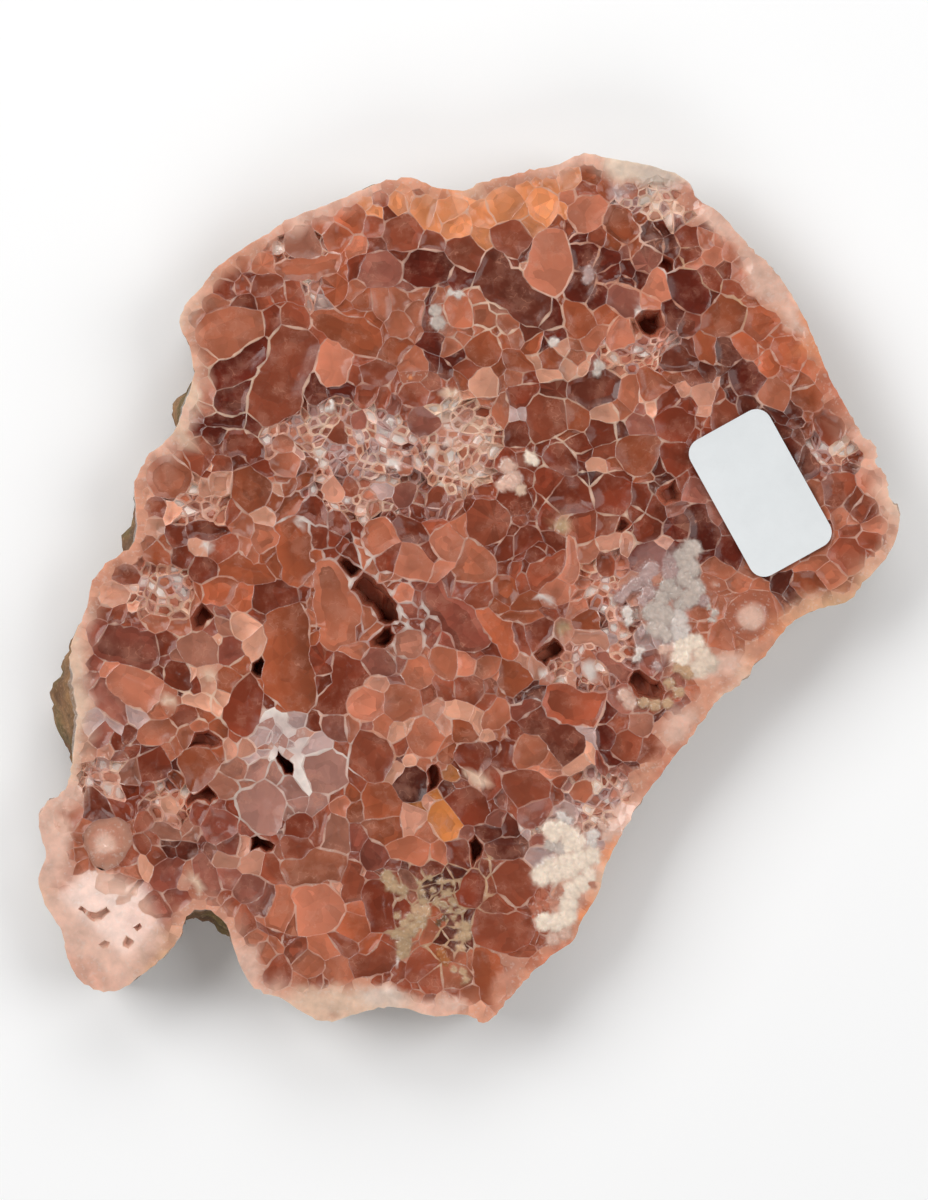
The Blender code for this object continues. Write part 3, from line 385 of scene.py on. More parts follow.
# Lumps of pale stone with a knobbly outline: tint, and the x, y and half width of each knob
LUMPS = (
    ("blush", ((4.8, 14.2, 0.8), (6.1, 14.8, 1.3), (5.4, 16.8, 1.0))), ("cream", ((7.4, 13.6, 0.7),)),
    ("lilac", ((16.8, 44.0, 0.7), (16.7, 42.9, 0.7))), ("chalk", ((-4.6, 38.6, 0.8), (-4.2, 36.9, 0.9))),
    ("milk", ((-2.4, 41.2, 0.5), (-1.4, 40.9, 0.5))), ("chalk", ((18.3, 31.0, 0.7), (18.1, 29.9, 0.6))),
    ("milk", ((12.0, 34.2, 0.6),)), ("milk", ((-19.2, 25.6, 0.5), (-19.2, 24.9, 0.5))),
    ("shell", ((8.6, 17.9, 0.85), (9.2, 17.5, 0.6), (8.3, 18.5, 0.55))),
    # the white plume
    ("chalk", ((31.2, 5.2, 1.2), (30.2, 3.8, 1.5), (31.3, 2.4, 1.2), (30.2, 1.2, 1.2))),
    ("lilac", ((28.4, 3.4, 1.0), (28.4, 2.0, 1.1))),
    ("chalk", ((27.8, 0.2, 1.1), (28.9, -0.8, 0.9), (27.2, -1.6, 1.1))),
    ("chalk", ((31.8, -0.2, 1.2), (30.9, -1.6, 1.3), (29.8, -2.6, 0.9))),
    ("chalk", ((25.9, -3.6, 1.4), (27.4, -4.2, 1.5), (26.4, -5.6, 1.4), (27.6, -6.8, 1.0))),
    ("milk", ((29.4, -4.6, 1.2), (29.6, -6.4, 1.3))),
    ("shell", ((30.2, -8.4, 1.4), (29.9, -9.8, 1.3), (31.8, -7.8, 1.0))), ("blush", ((27.3, -8.8, 0.7),)),
    ("milk", ((23.9, -9.1, 0.7), (23.5, -10.0, 0.6))),
    ("chalk", ((33.6, -2.9, 0.5), (34.6, -3.7, 0.5), (34.1, -4.6, 0.4))), ("lilac", ((32.9, -2.0, 0.7),)),
    ("lilac", ((25.6, 2.3, 1.0), (24.8, 1.2, 1.0))), ("rose", ((26.4, 1.0, 0.8),)),
    ("lilac", ((23.4, 0.2, 1.0), (22.2, -0.6, 0.9))), ("lilac", ((25.2, -0.8, 0.9), (24.4, -2.0, 0.8))),
    ("lilac", ((21.2, -1.6, 0.9),)), ("milk", ((22.3, -3.6, 0.8), (22.4, -4.8, 0.7))),
    ("ivory", ((32.8, -9.6, 1.1), (33.8, -10.8, 1.2), (32.2, -11.6, 1.2))),
    ("tan", ((30.6, -12.0, 0.9), (29.4, -11.4, 0.7))), ("blush", ((21.8, -15.2, 0.9), (22.6, -16.4, 0.9))),
    ("tan", ((24.6, -16.2, 0.8), (26.2, -16.6, 0.8), (28.0, -16.4, 0.7))),
    ("tan", ((28.2, -13.6, 0.7), (29.4, -14.8, 0.8))), ("lilac", ((26.6, -11.2, 0.7),)),
    ("lilac", ((24.2, -6.6, 0.7),)),
    # the white and cream lobes at the lower right
    ("shell", ((11.4, -33.9, 1.1), (12.9, -34.0, 1.2), (12.0, -35.0, 1.0))),
    ("chalk", ((11.5, -36.2, 0.9), (12.9, -36.8, 0.9))),
    ("shell", ((14.4, -35.2, 1.3), (15.4, -36.0, 1.1), (14.0, -36.5, 0.9))),
    ("milk", ((13.2, -32.2, 0.7), (14.2, -32.8, 0.5))), ("milk", ((17.5, -34.9, 0.8), (17.4, -36.0, 0.7))),
    ("blush", ((18.8, -33.6, 0.7), (19.4, -35.0, 0.7))),
    ("shell", ((10.4, -40.4, 1.4), (11.9, -39.8, 1.7), (13.8, -39.2, 1.7), (15.8, -38.4, 1.5),
               (17.2, -37.8, 1.2))),
    ("shell", ((16.9, -40.4, 0.9), (15.8, -41.6, 1.2), (14.4, -42.6, 1.1))),
    ("rose", ((12.8, -42.6, 0.8), (12.0, -44.0, 0.8))),
    ("shell", ((14.0, -44.6, 1.2), (13.8, -46.2, 1.3), (12.4, -47.2, 1.3), (10.6, -47.0, 1.2))),
    ("rose", ((17.3, -41.8, 0.5),)), ("salmon", ((9.6, -45.2, 0.9), (10.8, -44.6, 0.7))),
    ("blush", ((13.6, -48.6, 0.9), (11.8, -49.4, 0.9))),
    # the earthy web at the foot
    ("olive", ((-9.9, -46.2, 0.5), (-9.0, -47.2, 0.6), (-8.2, -46.4, 0.5))),
    ("olive", ((-2.0, -46.4, 0.4), (-2.6, -45.4, 0.4))), ("umber", ((-4.2, -47.0, 0.5), (-3.4, -46.4, 0.4))),
    ("olive", ((-5.4, -40.9, 0.45), (-3.8, -41.4, 0.45), (-2.2, -41.6, 0.4))),
    ("olive", ((-11.3, -40.7, 0.8), (-10.6, -41.9, 0.9), (-9.3, -42.6, 0.8))),
    ("olive", ((-6.9, -41.6, 0.45), (-6.5, -42.9, 0.5), (-6.3, -44.2, 0.6))),
    ("tan", ((-7.4, -45.2, 0.7), (-6.2, -45.6, 0.9))),
    ("olive", ((-6.7, -46.9, 0.9), (-7.8, -48.0, 1.0), (-9.0, -48.9, 1.0), (-10.2, -48.8, 0.6))),
    ("olive", ((-9.0, -50.2, 1.0), (-9.2, -51.4, 0.8))),
    ("olive", ((-4.9, -42.6, 0.5), (-4.4, -44.2, 0.6), (-3.6, -44.6, 0.5))),
    ("olive", ((-3.0, -43.0, 0.6), (-2.2, -44.2, 0.5), (-1.3, -45.4, 0.5))),
    ("olive", ((-0.4, -47.6, 0.8), (-0.6, -48.8, 0.8))),
    ("tan", ((-1.5, -47.6, 0.45), (-1.6, -49.2, 0.45), (-1.2, -50.6, 0.5))),
    ("ochre", ((-3.9, -51.2, 0.7), (-3.4, -52.4, 0.6))),
    ("tan", ((-2.0, -53.6, 0.5), (-0.8, -54.0, 0.5), (-0.4, -55.0, 0.5))),
)

# The white star: flat crystals of milky stone, each the x, y and half width of the places it runs through
STAR = (
    ((-28.6, -18.0, 0.55), (-27.2, -18.7, 0.6), (-25.8, -19.6, 0.75), (-24.4, -20.5, 0.8),
     (-22.9, -21.9, 0.6)),
    ((-23.8, -23.0, 0.5), (-25.2, -23.3, 0.5), (-26.6, -23.7, 0.6), (-27.9, -23.9, 0.5)),
    ((-23.2, -24.6, 0.5), (-23.6, -26.2, 0.5), (-23.8, -27.4, 0.45)),
)

# Pale strands that the veins follow between crystals: tint, half width and the points they run through
STRANDS = (
    # the white star and the long seam above it
    ("milk", 0.45, ((-28.8, -17.8), (-27.0, -18.7), (-25.4, -19.8), (-24.0, -20.9), (-22.8, -21.9))),
    ("milk", 0.28, ((-28.6, -18.2), (-28.1, -20.0), (-27.9, -22.0), (-27.9, -23.4))),
    ("milk", 0.40, ((-22.6, -22.3), (-24.2, -23.0), (-26.0, -23.4), (-28.0, -24.0))),
    ("blush", 0.24, ((-22.3, -21.6), (-21.5, -20.3), (-20.6, -18.4), (-20.3, -16.0), (-20.2, -13.5),
                     (-20.0, -11.2), (-18.5, -10.2), (-16.4, -9.5), (-14.6, -8.6))),
    ("milk", 0.22, ((-22.2, -22.4), (-20.8, -22.4), (-19.2, -22.9), (-17.4, -23.8), (-16.0, -25.1),
                    (-15.6, -27.2))),
    ("milk", 0.32, ((-22.8, -23.0), (-23.4, -24.9), (-23.9, -26.9), (-22.9, -28.6))),
    ("chalk", 0.25, ((-28.2, -24.4), (-26.8, -25.2), (-25.8, -26.7), (-24.9, -28.2))),
    ("chalk", 0.22, ((-28.6, -24.2), (-30.4, -27.0), (-32.4, -28.6), (-32.6, -31.4), (-31.6, -33.6),
                     (-29.6, -35.0))),
    ("blush", 0.24, ((-28.8, -17.8), (-30.8, -18.8), (-31.2, -20.2), (-29.9, -22.4), (-28.4, -24.0))),
    ("lilac", 0.36, ((-14.6, -8.6), (-13.9, -7.0), (-14.8, -5.6))),
    ("peach", 0.30, ((-14.4, -12.6), (-16.2, -15.4), (-16.8, -18.6), (-14.2, -19.6), (-12.0, -21.6),
                     (-9.8, -24.6))),
    # the earthy web at the foot
    ("olive", 0.40, ((-11.6, -40.6), (-11.0, -42.4), (-9.6, -41.8), (-9.2, -43.0))),
    ("olive", 0.35, ((-7.2, -41.0), (-6.6, -42.8), (-6.4, -44.4), (-7.0, -46.4), (-8.6, -49.0),
                     (-11.6, -48.0))),
    ("olive", 0.40, ((-5.4, -42.4), (-4.2, -44.4), (-3.0, -43.6), (-1.9, -44.9), (-1.1, -46.2))),
    ("tan", 0.30, ((-1.3, -47.2), (-1.5, -48.8), (-1.2, -50.4), (-0.8, -51.6))),
    ("tan", 0.26, ((-2.2, -37.4), (-2.4, -39.2), (-2.8, -41.0), (-3.1, -42.4))),
    ("tan", 0.24, ((-3.6, -38.9), (-4.7, -40.1), (-5.4, -41.4))),
    ("tan", 0.24, ((-1.6, -39.0), (0.4, -38.9), (2.0, -39.5))),
    ("tan", 0.32, ((2.8, -38.2), (2.7, -40.2), (2.6, -42.6), (2.9, -44.0))),
    ("tan", 0.26, ((-6.0, -50.0), (-5.2, -51.4), (-4.4, -52.8), (-4.0, -54.0))),
    ("tan", 0.26, ((-4.0, -48.2), (-3.0, -49.4), (-3.2, -50.8))),
    # seams at the top right
    ("tan", 0.22, ((30.2, 48.0), (30.1, 46.2), (30.6, 44.6), (32.2, 43.2), (34.4, 41.8))),
    ("tan", 0.22, ((34.8, 43.6), (35.4, 41.8), (37.4, 40.6), (38.5, 39.0), (39.0, 37.0))),
    ("milk", 0.25, ((26.8, 45.4), (27.4, 44.2), (29.0, 43.6))),
    ("blush", 0.25, ((24.1, 50.4), (24.0, 48.6), (25.2, 47.6), (26.4, 47.4), (26.8, 45.8))),
    ("peach", 0.30, ((19.0, 42.0), (20.8, 42.5), (22.9, 42.2), (24.4, 40.6), (25.2, 39.4))),
    ("blush", 0.26, ((5.8, 46.2), (6.4, 43.4), (8.0, 41.0), (10.0, 40.9), (12.2, 40.4), (14.6, 42.6),
                     (13.6, 46.4), (14.6, 49.0))),
    ("blush", 0.24, ((-7.4, 48.0), (-4.4, 46.6), (-1.2, 43.4), (2.2, 46.4), (1.8, 49.0))),
    ("cream", 0.24, ((1.2, 39.6), (3.6, 38.8), (6.0, 36.6), (4.4, 35.6), (1.0, 36.6))),
    # seams between the dark crystals at the left
    ("cream", 0.34, ((-27.6, 34.6), (-29.4, 31.0), (-30.9, 27.0), (-30.6, 23.4), (-28.8, 20.4))),
    ("cream", 0.30, ((-38.0, 31.2), (-35.4, 29.6), (-33.2, 28.6))),
    ("cream", 0.24, ((-37.0, 31.0), (-33.0, 33.0), (-29.4, 35.2))),
    ("cream", 0.22, ((-36.0, 25.0), (-33.6, 23.9), (-31.2, 22.4))),
    ("blush", 0.28, ((-22.4, 34.6), (-21.6, 31.0), (-21.0, 28.4))),
)

# How far strands and lumps reach past their half widths, and the longest edges of the mesh near them
STRAND_MARGIN = 1.6
STRAND_FADE = 0.42
KNOB_GROWTH = 1.12
KNOB_REACH = 1.25
KNOB_FADE = 0.45
KNOB_RISE = 0.19
KNOB_SINK = 0.12
KNOB_EDGE = 0.4
PATCH_EDGE = 1.2
PATCH_FRAY = (0.06, 0.9)
REFINE_ROUNDS = 5
FACE_DEPTH = 1.3

# How the crystals between the placed ones are dropped
FILL_TRIES = 70000
FILL_REACH = 61
FILL_SIZES = (1.35, 0.75)
FILL_UNEVEN = (0.85, 1.15)
PACKING = 0.82
SUGAR_FROM = 0.3
SEAM_WIDTH = 0.55
CELL_REACH = 2.6

# Cut crystals: spread of their tints, depth and tilt of their floors, and the odds of each kind of floor
WINDOW_SPREAD = 0.13
SINK_SHARE = 0.13
SINK_LEAST = 0.05
STEEP_ODDS = 0.12
STEEP_SINK = 2.2
FLOOR_TILT = 0.03
FLOOR_SHARES = (0.28, 0.6)
LOW_POINT_ODDS = 0.05
CORE_ODDS = 0.65
ROUND_ODDS = 0.6
ROUND_CORNERS = 8
# How strongly a cut crystal's facets are painted lighter and darker by the way they face a random light
# direction: painted light and shade
PAINTED_FACET_LIGHT = (0.05, 0.32)

# Veins: least half width, greatest strength, and the nearness below which a swell or strand is passed over
VEIN_LEAST = 0.04
VEIN_MOST = 0.95
SWELL_FROM = 0.02
STRAND_FROM = 0.05

# How the crystals' corners and borders bend, and how the milky band along the edge fades
BEND = 1.5
BEND_SCALE = 0.23
BEND_FROM = 1.0
BEND_FADE = 3.0
BORDER_STEP = 1.25
BORDER_BEND = 0.45
SUGAR_SINK = 0.9
RIM_FADE = 3.0
RIM_SHARE = 0.9

RIM_CRYSTAL = -1
OUTSIDE = -2
Crystal = namedtuple("Crystal", "kind tint size core", defaults=(None, None))


# ---------------------------------------------------------------- plan of the crystals

def clamped(value):
    return min(1.0, max(0.0, value))


def heading(angle):
    """The direction at an angle in radians."""
    return Vector((math.cos(angle), math.sin(angle)))


def any_way(rng):
    """A random vector of up to 1 along each axis."""
    return Vector((rng.uniform(-1, 1), rng.uniform(-1, 1)))


def edge_key(one, other):
    """The two ends of an edge, the lesser first."""
    return (min(one, other), max(one, other))


def even_loop(points, step):
    """Points about a step apart on the smooth closed curve through the given ones."""
    dense = []
    count = len(points)
    for i in range(count):
        a, b, c, d = (Vector(points[(i + k) % count]) for k in (-1, 0, 1, 2))
        for k in range(CURVE_STEPS):
            t = k / CURVE_STEPS
            dense.append(0.5 * (2 * b + (c - a) * t + (2 * a - 5 * b + 4 * c - d) * t * t
                                + (3 * b - a - 3 * c + d) * t ** 3))
    lengths = [(dense[(i + 1) % len(dense)] - p).length for i, p in enumerate(dense)]
    total = sum(lengths)
    wanted = round(total / step)
    loop, run, k = [], 0.0, 0
    for i in range(wanted):
        target = total * i / wanted
        while run + lengths[k] < target:
            run += lengths[k]
            k += 1
        share = (target - run) / lengths[k]
        loop.append(dense[k].lerp(dense[(k + 1) % len(dense)], share))
    return loop


def outward(loop, i):
    """Outward direction at point i of a clockwise loop."""
    along = loop[(i + 1) % len(loop)] - loop[i - 1]
    return Vector((-along.y, along.x)).normalized()


def tree_of(places):
    tree = kdtree.KDTree(len(places))
    for i, place in enumerate(places):
        tree.insert(place.to_3d(), i)
    tree.balance()
    return tree


class EdgeGauge:
    """Tells how deep inside the cut edge a place lies."""

    def __init__(self, loop):
        self.loop = loop
        self.tree = tree_of(loop)

    def depth(self, place):
        near, i, _ = self.tree.find(place.to_3d())
        return (near.to_2d() - place).dot(outward(self.loop, i))


def sugar_share(place, row):
    """1 in the middle of an oval sugary patch, 0 outside it."""
    gone = math.hypot((place.x - row[0]) / row[2], (place.y - row[1]) / row[3])
    return clamped(3.0 * (1.0 - gone))


def sugar_at(place):
    return max(sugar_share(place, row) for row in SUGAR_PATCHES)


def ragged(place):
    """A place moved along a fine random field, which frays the patches' borders."""
    broad = noise.noise_vector(place.to_3d() * 0.33) * 1.0
    fine = noise.noise_vector(place.to_3d() * 1.3) * 0.5
    return place + (broad + fine).to_2d()


class PaleField:
    """How milky the stone is at a place, and in which tint: patches, and a fading band along the edge."""

    def __init__(self, gauge):
        self.gauge = gauge
        self.rows = []
        for x, y, along, across, bearing, tint, *most in PALE_PATCHES:
            turn = math.radians(bearing)
            self.rows.append((x, y, math.cos(turn) / along, math.sin(turn) / along,
                              -math.sin(turn) / across, math.cos(turn) / across,
                              max(2.0, 0.6 * min(along, across)), linear(tint), tint,
                              most[0] if most else 1.0))
        self.rim = [(x, y, linear(tint)) for x, y, tint in RIM_TINTS]

    def rim_tint(self, place):
        total, blend = 0.0, np.zeros(3)
        for x, y, tint in self.rim:
            weight = 1.0 / (math.hypot(place.x - x, place.y - y) + 2.0) ** 3
            total += weight
            blend += weight * tint
        return blend / total * (1.0 + 0.22 * noise.noise(place.to_3d() * 0.45 + Vector((3, 1, 8))))

    def patch(self, place):
        """Share of the strongest patch at a place, the patches' blended tint and the strongest one's name."""
        spot = ragged(place)
        most, total, blend, strongest = 0.0, 1e-9, np.zeros(3), None
        for x, y, ax, ay, bx, by, hardness, tint, name, limit in self.rows:
            dx, dy = spot.x - x, spot.y - y
            gone = math.hypot(dx * ax + dy * ay, dx * bx + dy * by)
            if gone < 1.0:
                share = min(limit, hardness * (1.0 - gone))
                if share > most:
                    most, strongest = share, name
                total += share
                blend += share * tint
        cloudy = 0.16 * noise.noise(place.to_3d() * 0.9) + 0.12 * noise.noise(place.to_3d() * 2.1)
        return most, blend / total * (1.0 + cloudy), strongest

    def at(self, place):
        share, tint, _ = self.patch(place)
        depth = self.gauge.depth(place) + 1.8 * noise.noise(place.to_3d() * 0.4)
        edge = clamped(1.0 - depth / RIM_FADE) * RIM_SHARE
        if edge > 0.0:
            total = share + edge * (1.0 - share)
            tint = blended(tint, self.rim_tint(place) * (1.0 + 0.18 * edge), edge * (1.0 - share) / total)
            share = total
        return share, tint


def seam_share(place):
    """Smaller where seams of little crystals run between the large ones."""
    return SEAM_WIDTH if noise.noise(place.to_3d() * 0.16 + Vector((4, 7, 2))) > 0.16 else 1.0


def along_axis(x, y, width, length=0.0, bearing=0.0):
    """Centres that together make one long crystal."""
    count = 1 + math.ceil(length / (1.1 * width)) if length else 1
    way = heading(math.radians(bearing))
    shares = [k / (count - 1) - 0.5 if count > 1 else 0.0 for k in range(count)]
    return [Vector((x, y)) + way * length * share for share in shares]


class Layout:
    """Centres of all crystals: each has a place, a half width and the number of its crystal."""

    TILE = 6.0

    def __init__(self):
        self.places, self.widths, self.owners, self.crystals = [], [], [], []
        self.tiles = {}

    def add(self, place, width, owner):
        tile = (math.floor(place.x / self.TILE), math.floor(place.y / self.TILE))
        self.tiles.setdefault(tile, []).append(len(self.places))
        self.places.append(place)
        self.widths.append(width)
        self.owners.append(owner)

    def add_rim(self, rng):
        loop = even_loop(CUT_EDGE, EDGE_STEP)
        for i, point in enumerate(loop):
            point = point + outward(loop, i) * rng.uniform(-0.05, 0.05)
            half = RIM * rng.uniform(0.6, 1.3)
            self.add(point - outward(loop, i) * half, half, RIM_CRYSTAL)
            self.add(point + outward(loop, i) * half, half, OUTSIDE)

    def add_placed(self, gauge):
        rows = [(row[:3], (), Crystal("bead", row[4], row[3], row[5])) for row in BEADS]
        for tint, group in CRYSTALS.items():
            rows += [(row[:3], row[3:], Crystal("window", tint)) for row in group]
        rows += [(row[:3], row[4:], Crystal("hollow", "hollow", row[3])) for row in HOLLOWS]
        for (x, y, width), axis, crystal in rows:
            for place in along_axis(x, y, width, *axis):
                room = gauge.depth(place) - RIM
                self.add(place, min(width, max(0.5, room)), len(self.crystals))
            self.crystals.append(crystal)
        for arm in STAR:
            for x, y, width in arm:
                self.add(Vector((x, y)), width, len(self.crystals))
            self.crystals.append(Crystal("milky", "snow"))

    def has_room(self, place, width):
        column, row = math.floor(place.x / self.TILE), math.floor(place.y / self.TILE)
        for i in (column - 1, column, column + 1):
            for j in (row - 1, row, row + 1):
                for k in self.tiles.get((i, j), ()):
                    if (self.places[k] - place).length < PACKING * (self.widths[k] + width):
                        return False
        return True

    def add_fill(self, gauge, field, rng, grain, sugar_grain):
        """Crystals of uneven size dropped wherever there is still room, from large to small."""
        painted = [i for i, owner in enumerate(self.owners)
                   if owner >= 0 and self.crystals[owner].kind == "window"]
        near_tints = tree_of([self.places[i] for i in painted])
        for attempt in range(FILL_TRIES):
            place = Vector((rng.uniform(-FILL_REACH, FILL_REACH), rng.uniform(-FILL_REACH, FILL_REACH)))
            size = FILL_SIZES[0] - FILL_SIZES[1] * attempt / FILL_TRIES
            sugar = sugar_at(place) > SUGAR_FROM
            share, _, pale_tint = field.patch(place)
            milky = share > rng.uniform(0.3, 0.7)
            width = 0.5 * size * rng.uniform(*FILL_UNEVEN)
            if milky or sugar:
                width *= sugar_grain
            else:
                width *= grain * seam_share(place)
            if gauge.depth(place) < 2 * RIM + 0.35 * width or not self.has_room(place, width):
                continue
            if milky:
                crystal = Crystal("milky", rng.choice(("rose", "clay", "peach")), None, pale_tint)
            elif sugar:
                patch = max(SUGAR_PATCHES, key=lambda row: sugar_share(place, row))
                crystal = Crystal("sugar", rng.choice(patch[4:]))
            else:
                nearest = near_tints.find_n(place.to_3d(), 3)
                pick = rng.choice(nearest)[1]
                crystal = Crystal("window", self.crystals[self.owners[painted[pick]]].tint)
            self.add(place, width, len(self.crystals))
            self.crystals.append(crystal)


def cut_outline(outline, normal, limit, label):
    """Keeps the part of a convex outline on the near side of a line, whose new edge gets the label."""
    kept = []
    for k, (point, edge) in enumerate(outline):
        after = outline[(k + 1) % len(outline)][0]
        here, there = normal.dot(point) - limit, normal.dot(after) - limit
        if here <= 0:
            kept.append((point, edge))
        if here * there < 0:
            crossing = point.lerp(after, here / (here - there))
            kept.append((crossing, label if here < 0 else edge))
    return kept


def crystal_cells(layout):
    """The power diagram of the layout: for each crystal inside, the closed lists of its corners."""
    tree = tree_of(layout.places)
    corners, cells = {}, {}
    for i, place in enumerate(layout.places):
        if layout.owners[i] == OUTSIDE:
            continue
        far = 2.0 * layout.widths[i] + CELL_REACH
        outline = [(place + Vector(way) * far, -1) for way in ((1, 1), (-1, 1), (-1, -1), (1, -1))]
        for near, j, _ in tree.find_range(place.to_3d(), 2.0 * far):
            if j == i:
                continue
            other = near.to_2d()
            normal = 2.0 * (other - place)
            limit = (other.length_squared - place.length_squared
                     - layout.widths[j] ** 2 + layout.widths[i] ** 2)
            outline = cut_outline(outline, normal, limit, j)
            if len(outline) < 3:
                break
        if len(outline) < 3:
            continue
        names = []
        for k, (point, label) in enumerate(outline):
            name = tuple(sorted((i, label, outline[k - 1][1])))
            corners.setdefault(name, point)
            names.append(name)
        cells.setdefault(layout.owners[i], []).append(names)
    return corners, cells


def bend_corners(corners, gauge):
    """Moves the corners a little along a smooth random field, so that no crystal stays regular."""
    for name, place in corners.items():
        fade = clamped((gauge.depth(place) - BEND_FROM) / BEND_FADE)
        bend = noise.noise_vector(place.to_3d() * BEND_SCALE).to_2d() * BEND
        corners[name] = place + bend * fade


def close_short_edges(corners, cells, shortest):
    """Lets corners nearer than the shortest edge to each other along a border become one."""
    parent = {name: name for name in corners}

    def root(name):
        while parent[name] != name:
            name = parent[name]
        return name

    edges = []
    for outlines in cells.values():
        for names in outlines:
            for k, name in enumerate(names):
                edges.append(((corners[name] - corners[names[k - 1]]).length, name, names[k - 1]))
    for _, one, other in sorted(edges):
        a, b = root(one), root(other)
        if a != b and (corners[a] - corners[b]).length < shortest:
            corners[a] = (corners[a] + corners[b]) / 2
            parent[b] = a
    for crystal, outlines in cells.items():
        closed = []
        for names in outlines:
            names = [root(name) for name in names]
            names = [name for k, name in enumerate(names) if name != names[k - 1]]
            if len(set(names)) == len(names) >= 3:
                closed.append(names)
        cells[crystal] = closed


def joined_outline(outlines):
    """The outer border of cells that belong to one crystal."""
    steps = {(names[k - 1], name) for names in outlines for k, name in enumerate(names)}
    after = {a: b for a, b in sorted(steps) if (b, a) not in steps}
    start = min(after)
    loop = [start]
    while after[loop[-1]] != start and len(loop) < len(after):
        loop.append(after[loop[-1]])
    return loop if len(loop) == len(after) and after[loop[-1]] == start else None


def spine_of(outlines, corners):
    """Middles of a crystal's cells, which its facets slope towards."""
    return [sum((corners[name] for name in names), Vector((0, 0))) / len(names) for names in outlines]


def nearest_on(spine, place):
    """The place on a spine that is nearest to the given one."""
    best = spine[0]
    for a, b in zip(spine, spine[1:]):
        run = b - a
        share = clamped((place - a).dot(run) / max(run.length_squared, 1e-9))
        spot = a + run * share
        if (spot - place).length < (best - place).length:
            best = spot
    return best


def rind_shift(place):
    """How far the rind swells out at the foot below a place on the cut edge."""
    shift = Vector((0, 0))
    for x, y, shift_x, shift_y, reach in RIND_SWELLS:
        gone = (place - Vector((x, y))).length / reach
        shift += Vector((shift_x, shift_y)) * math.exp(-gone * gone)
    return shift


# ---------------------------------------------------------------- the stone's mesh

CRYSTAL, MILKY, RIND, SAWN = range(4)


class StoneMesh:
    """Collects the stone's points and faces, in millimetres, with a tint for each corner of each face."""

    def __init__(self, settings):
        self.settings = settings
        self.points, self.faces, self.tints, self.parts, self.smooth = [], [], [], [], []
        self.veins = {}

    def point(self, place, height):
        self.points.append((place.x, place.y, height))
        return len(self.points) - 1

    def face(self, names, tints, part, smooth=False):
        if isinstance(tints, np.ndarray) and tints.ndim == 1:
            tints = [tints] * len(names)
        self.faces.append(names)
        self.tints.extend(tints)
        self.parts.append(part)
        self.smooth.append(smooth or part == RIND)

    def plan(self, index):
        return Vector(self.points[index][:2])


def vein_luck(rng):
    """How strong one crystal border's vein is: many borders have hardly any."""
    return rng.choice([rng.uniform(*span) for span in VEIN_LUCK])


def strand_share(place, width, path):
    """1 on a strand's path, falling to 0 beside it."""
    if not min(x for x, _ in path) - STRAND_MARGIN < place.x < max(x for x, _ in path) + STRAND_MARGIN:
        return 0.0
    if not min(y for _, y in path) - STRAND_MARGIN < place.y < max(y for _, y in path) + STRAND_MARGIN:
        return 0.0
    away = (nearest_on([Vector(point) for point in path], place) - place).length
    return math.exp(-(away / (width + STRAND_FADE)) ** 2)


def vein_at(place, luck, settings):
    """Half width, strength and tint of the vein at a place on a crystal border."""
    width = settings.vein_width / MM * (0.4 + 1.5 * luck)
    strength = settings.vein_strength * 1.7 * luck
    tint = linear(VEIN_TINT)
    for x, y, reach, wider, stronger, swell_tint in VEIN_SWELLS:
        near = math.exp(-((place.x - x) ** 2 + (place.y - y) ** 2) / reach ** 2)
        if near > SWELL_FROM:
            width += wider * near * (0.3 + luck)
            strength += stronger * near * (0.3 + luck)
            tint = blended(tint, linear(swell_tint), min(1.0, 1.3 * near))
    for strand_tint, strand_width, path in STRANDS:
        near = strand_share(place, strand_width, path)
        if near > STRAND_FROM:
            width = max(width, strand_width * (0.7 + 0.6 * luck) * near)
            strength = max(strength, near)
            tint = blended(tint, linear(strand_tint), near)
    return max(VEIN_LEAST, width), min(VEIN_MOST, strength), tint


def blended(one, other, share):
    return one * (1.0 - share) + other * share


def facet_tint(tint, rng, spread):
    """One facet's own shade of a crystal's tint."""
    return tint * math.exp(rng.gauss(0.0, spread))


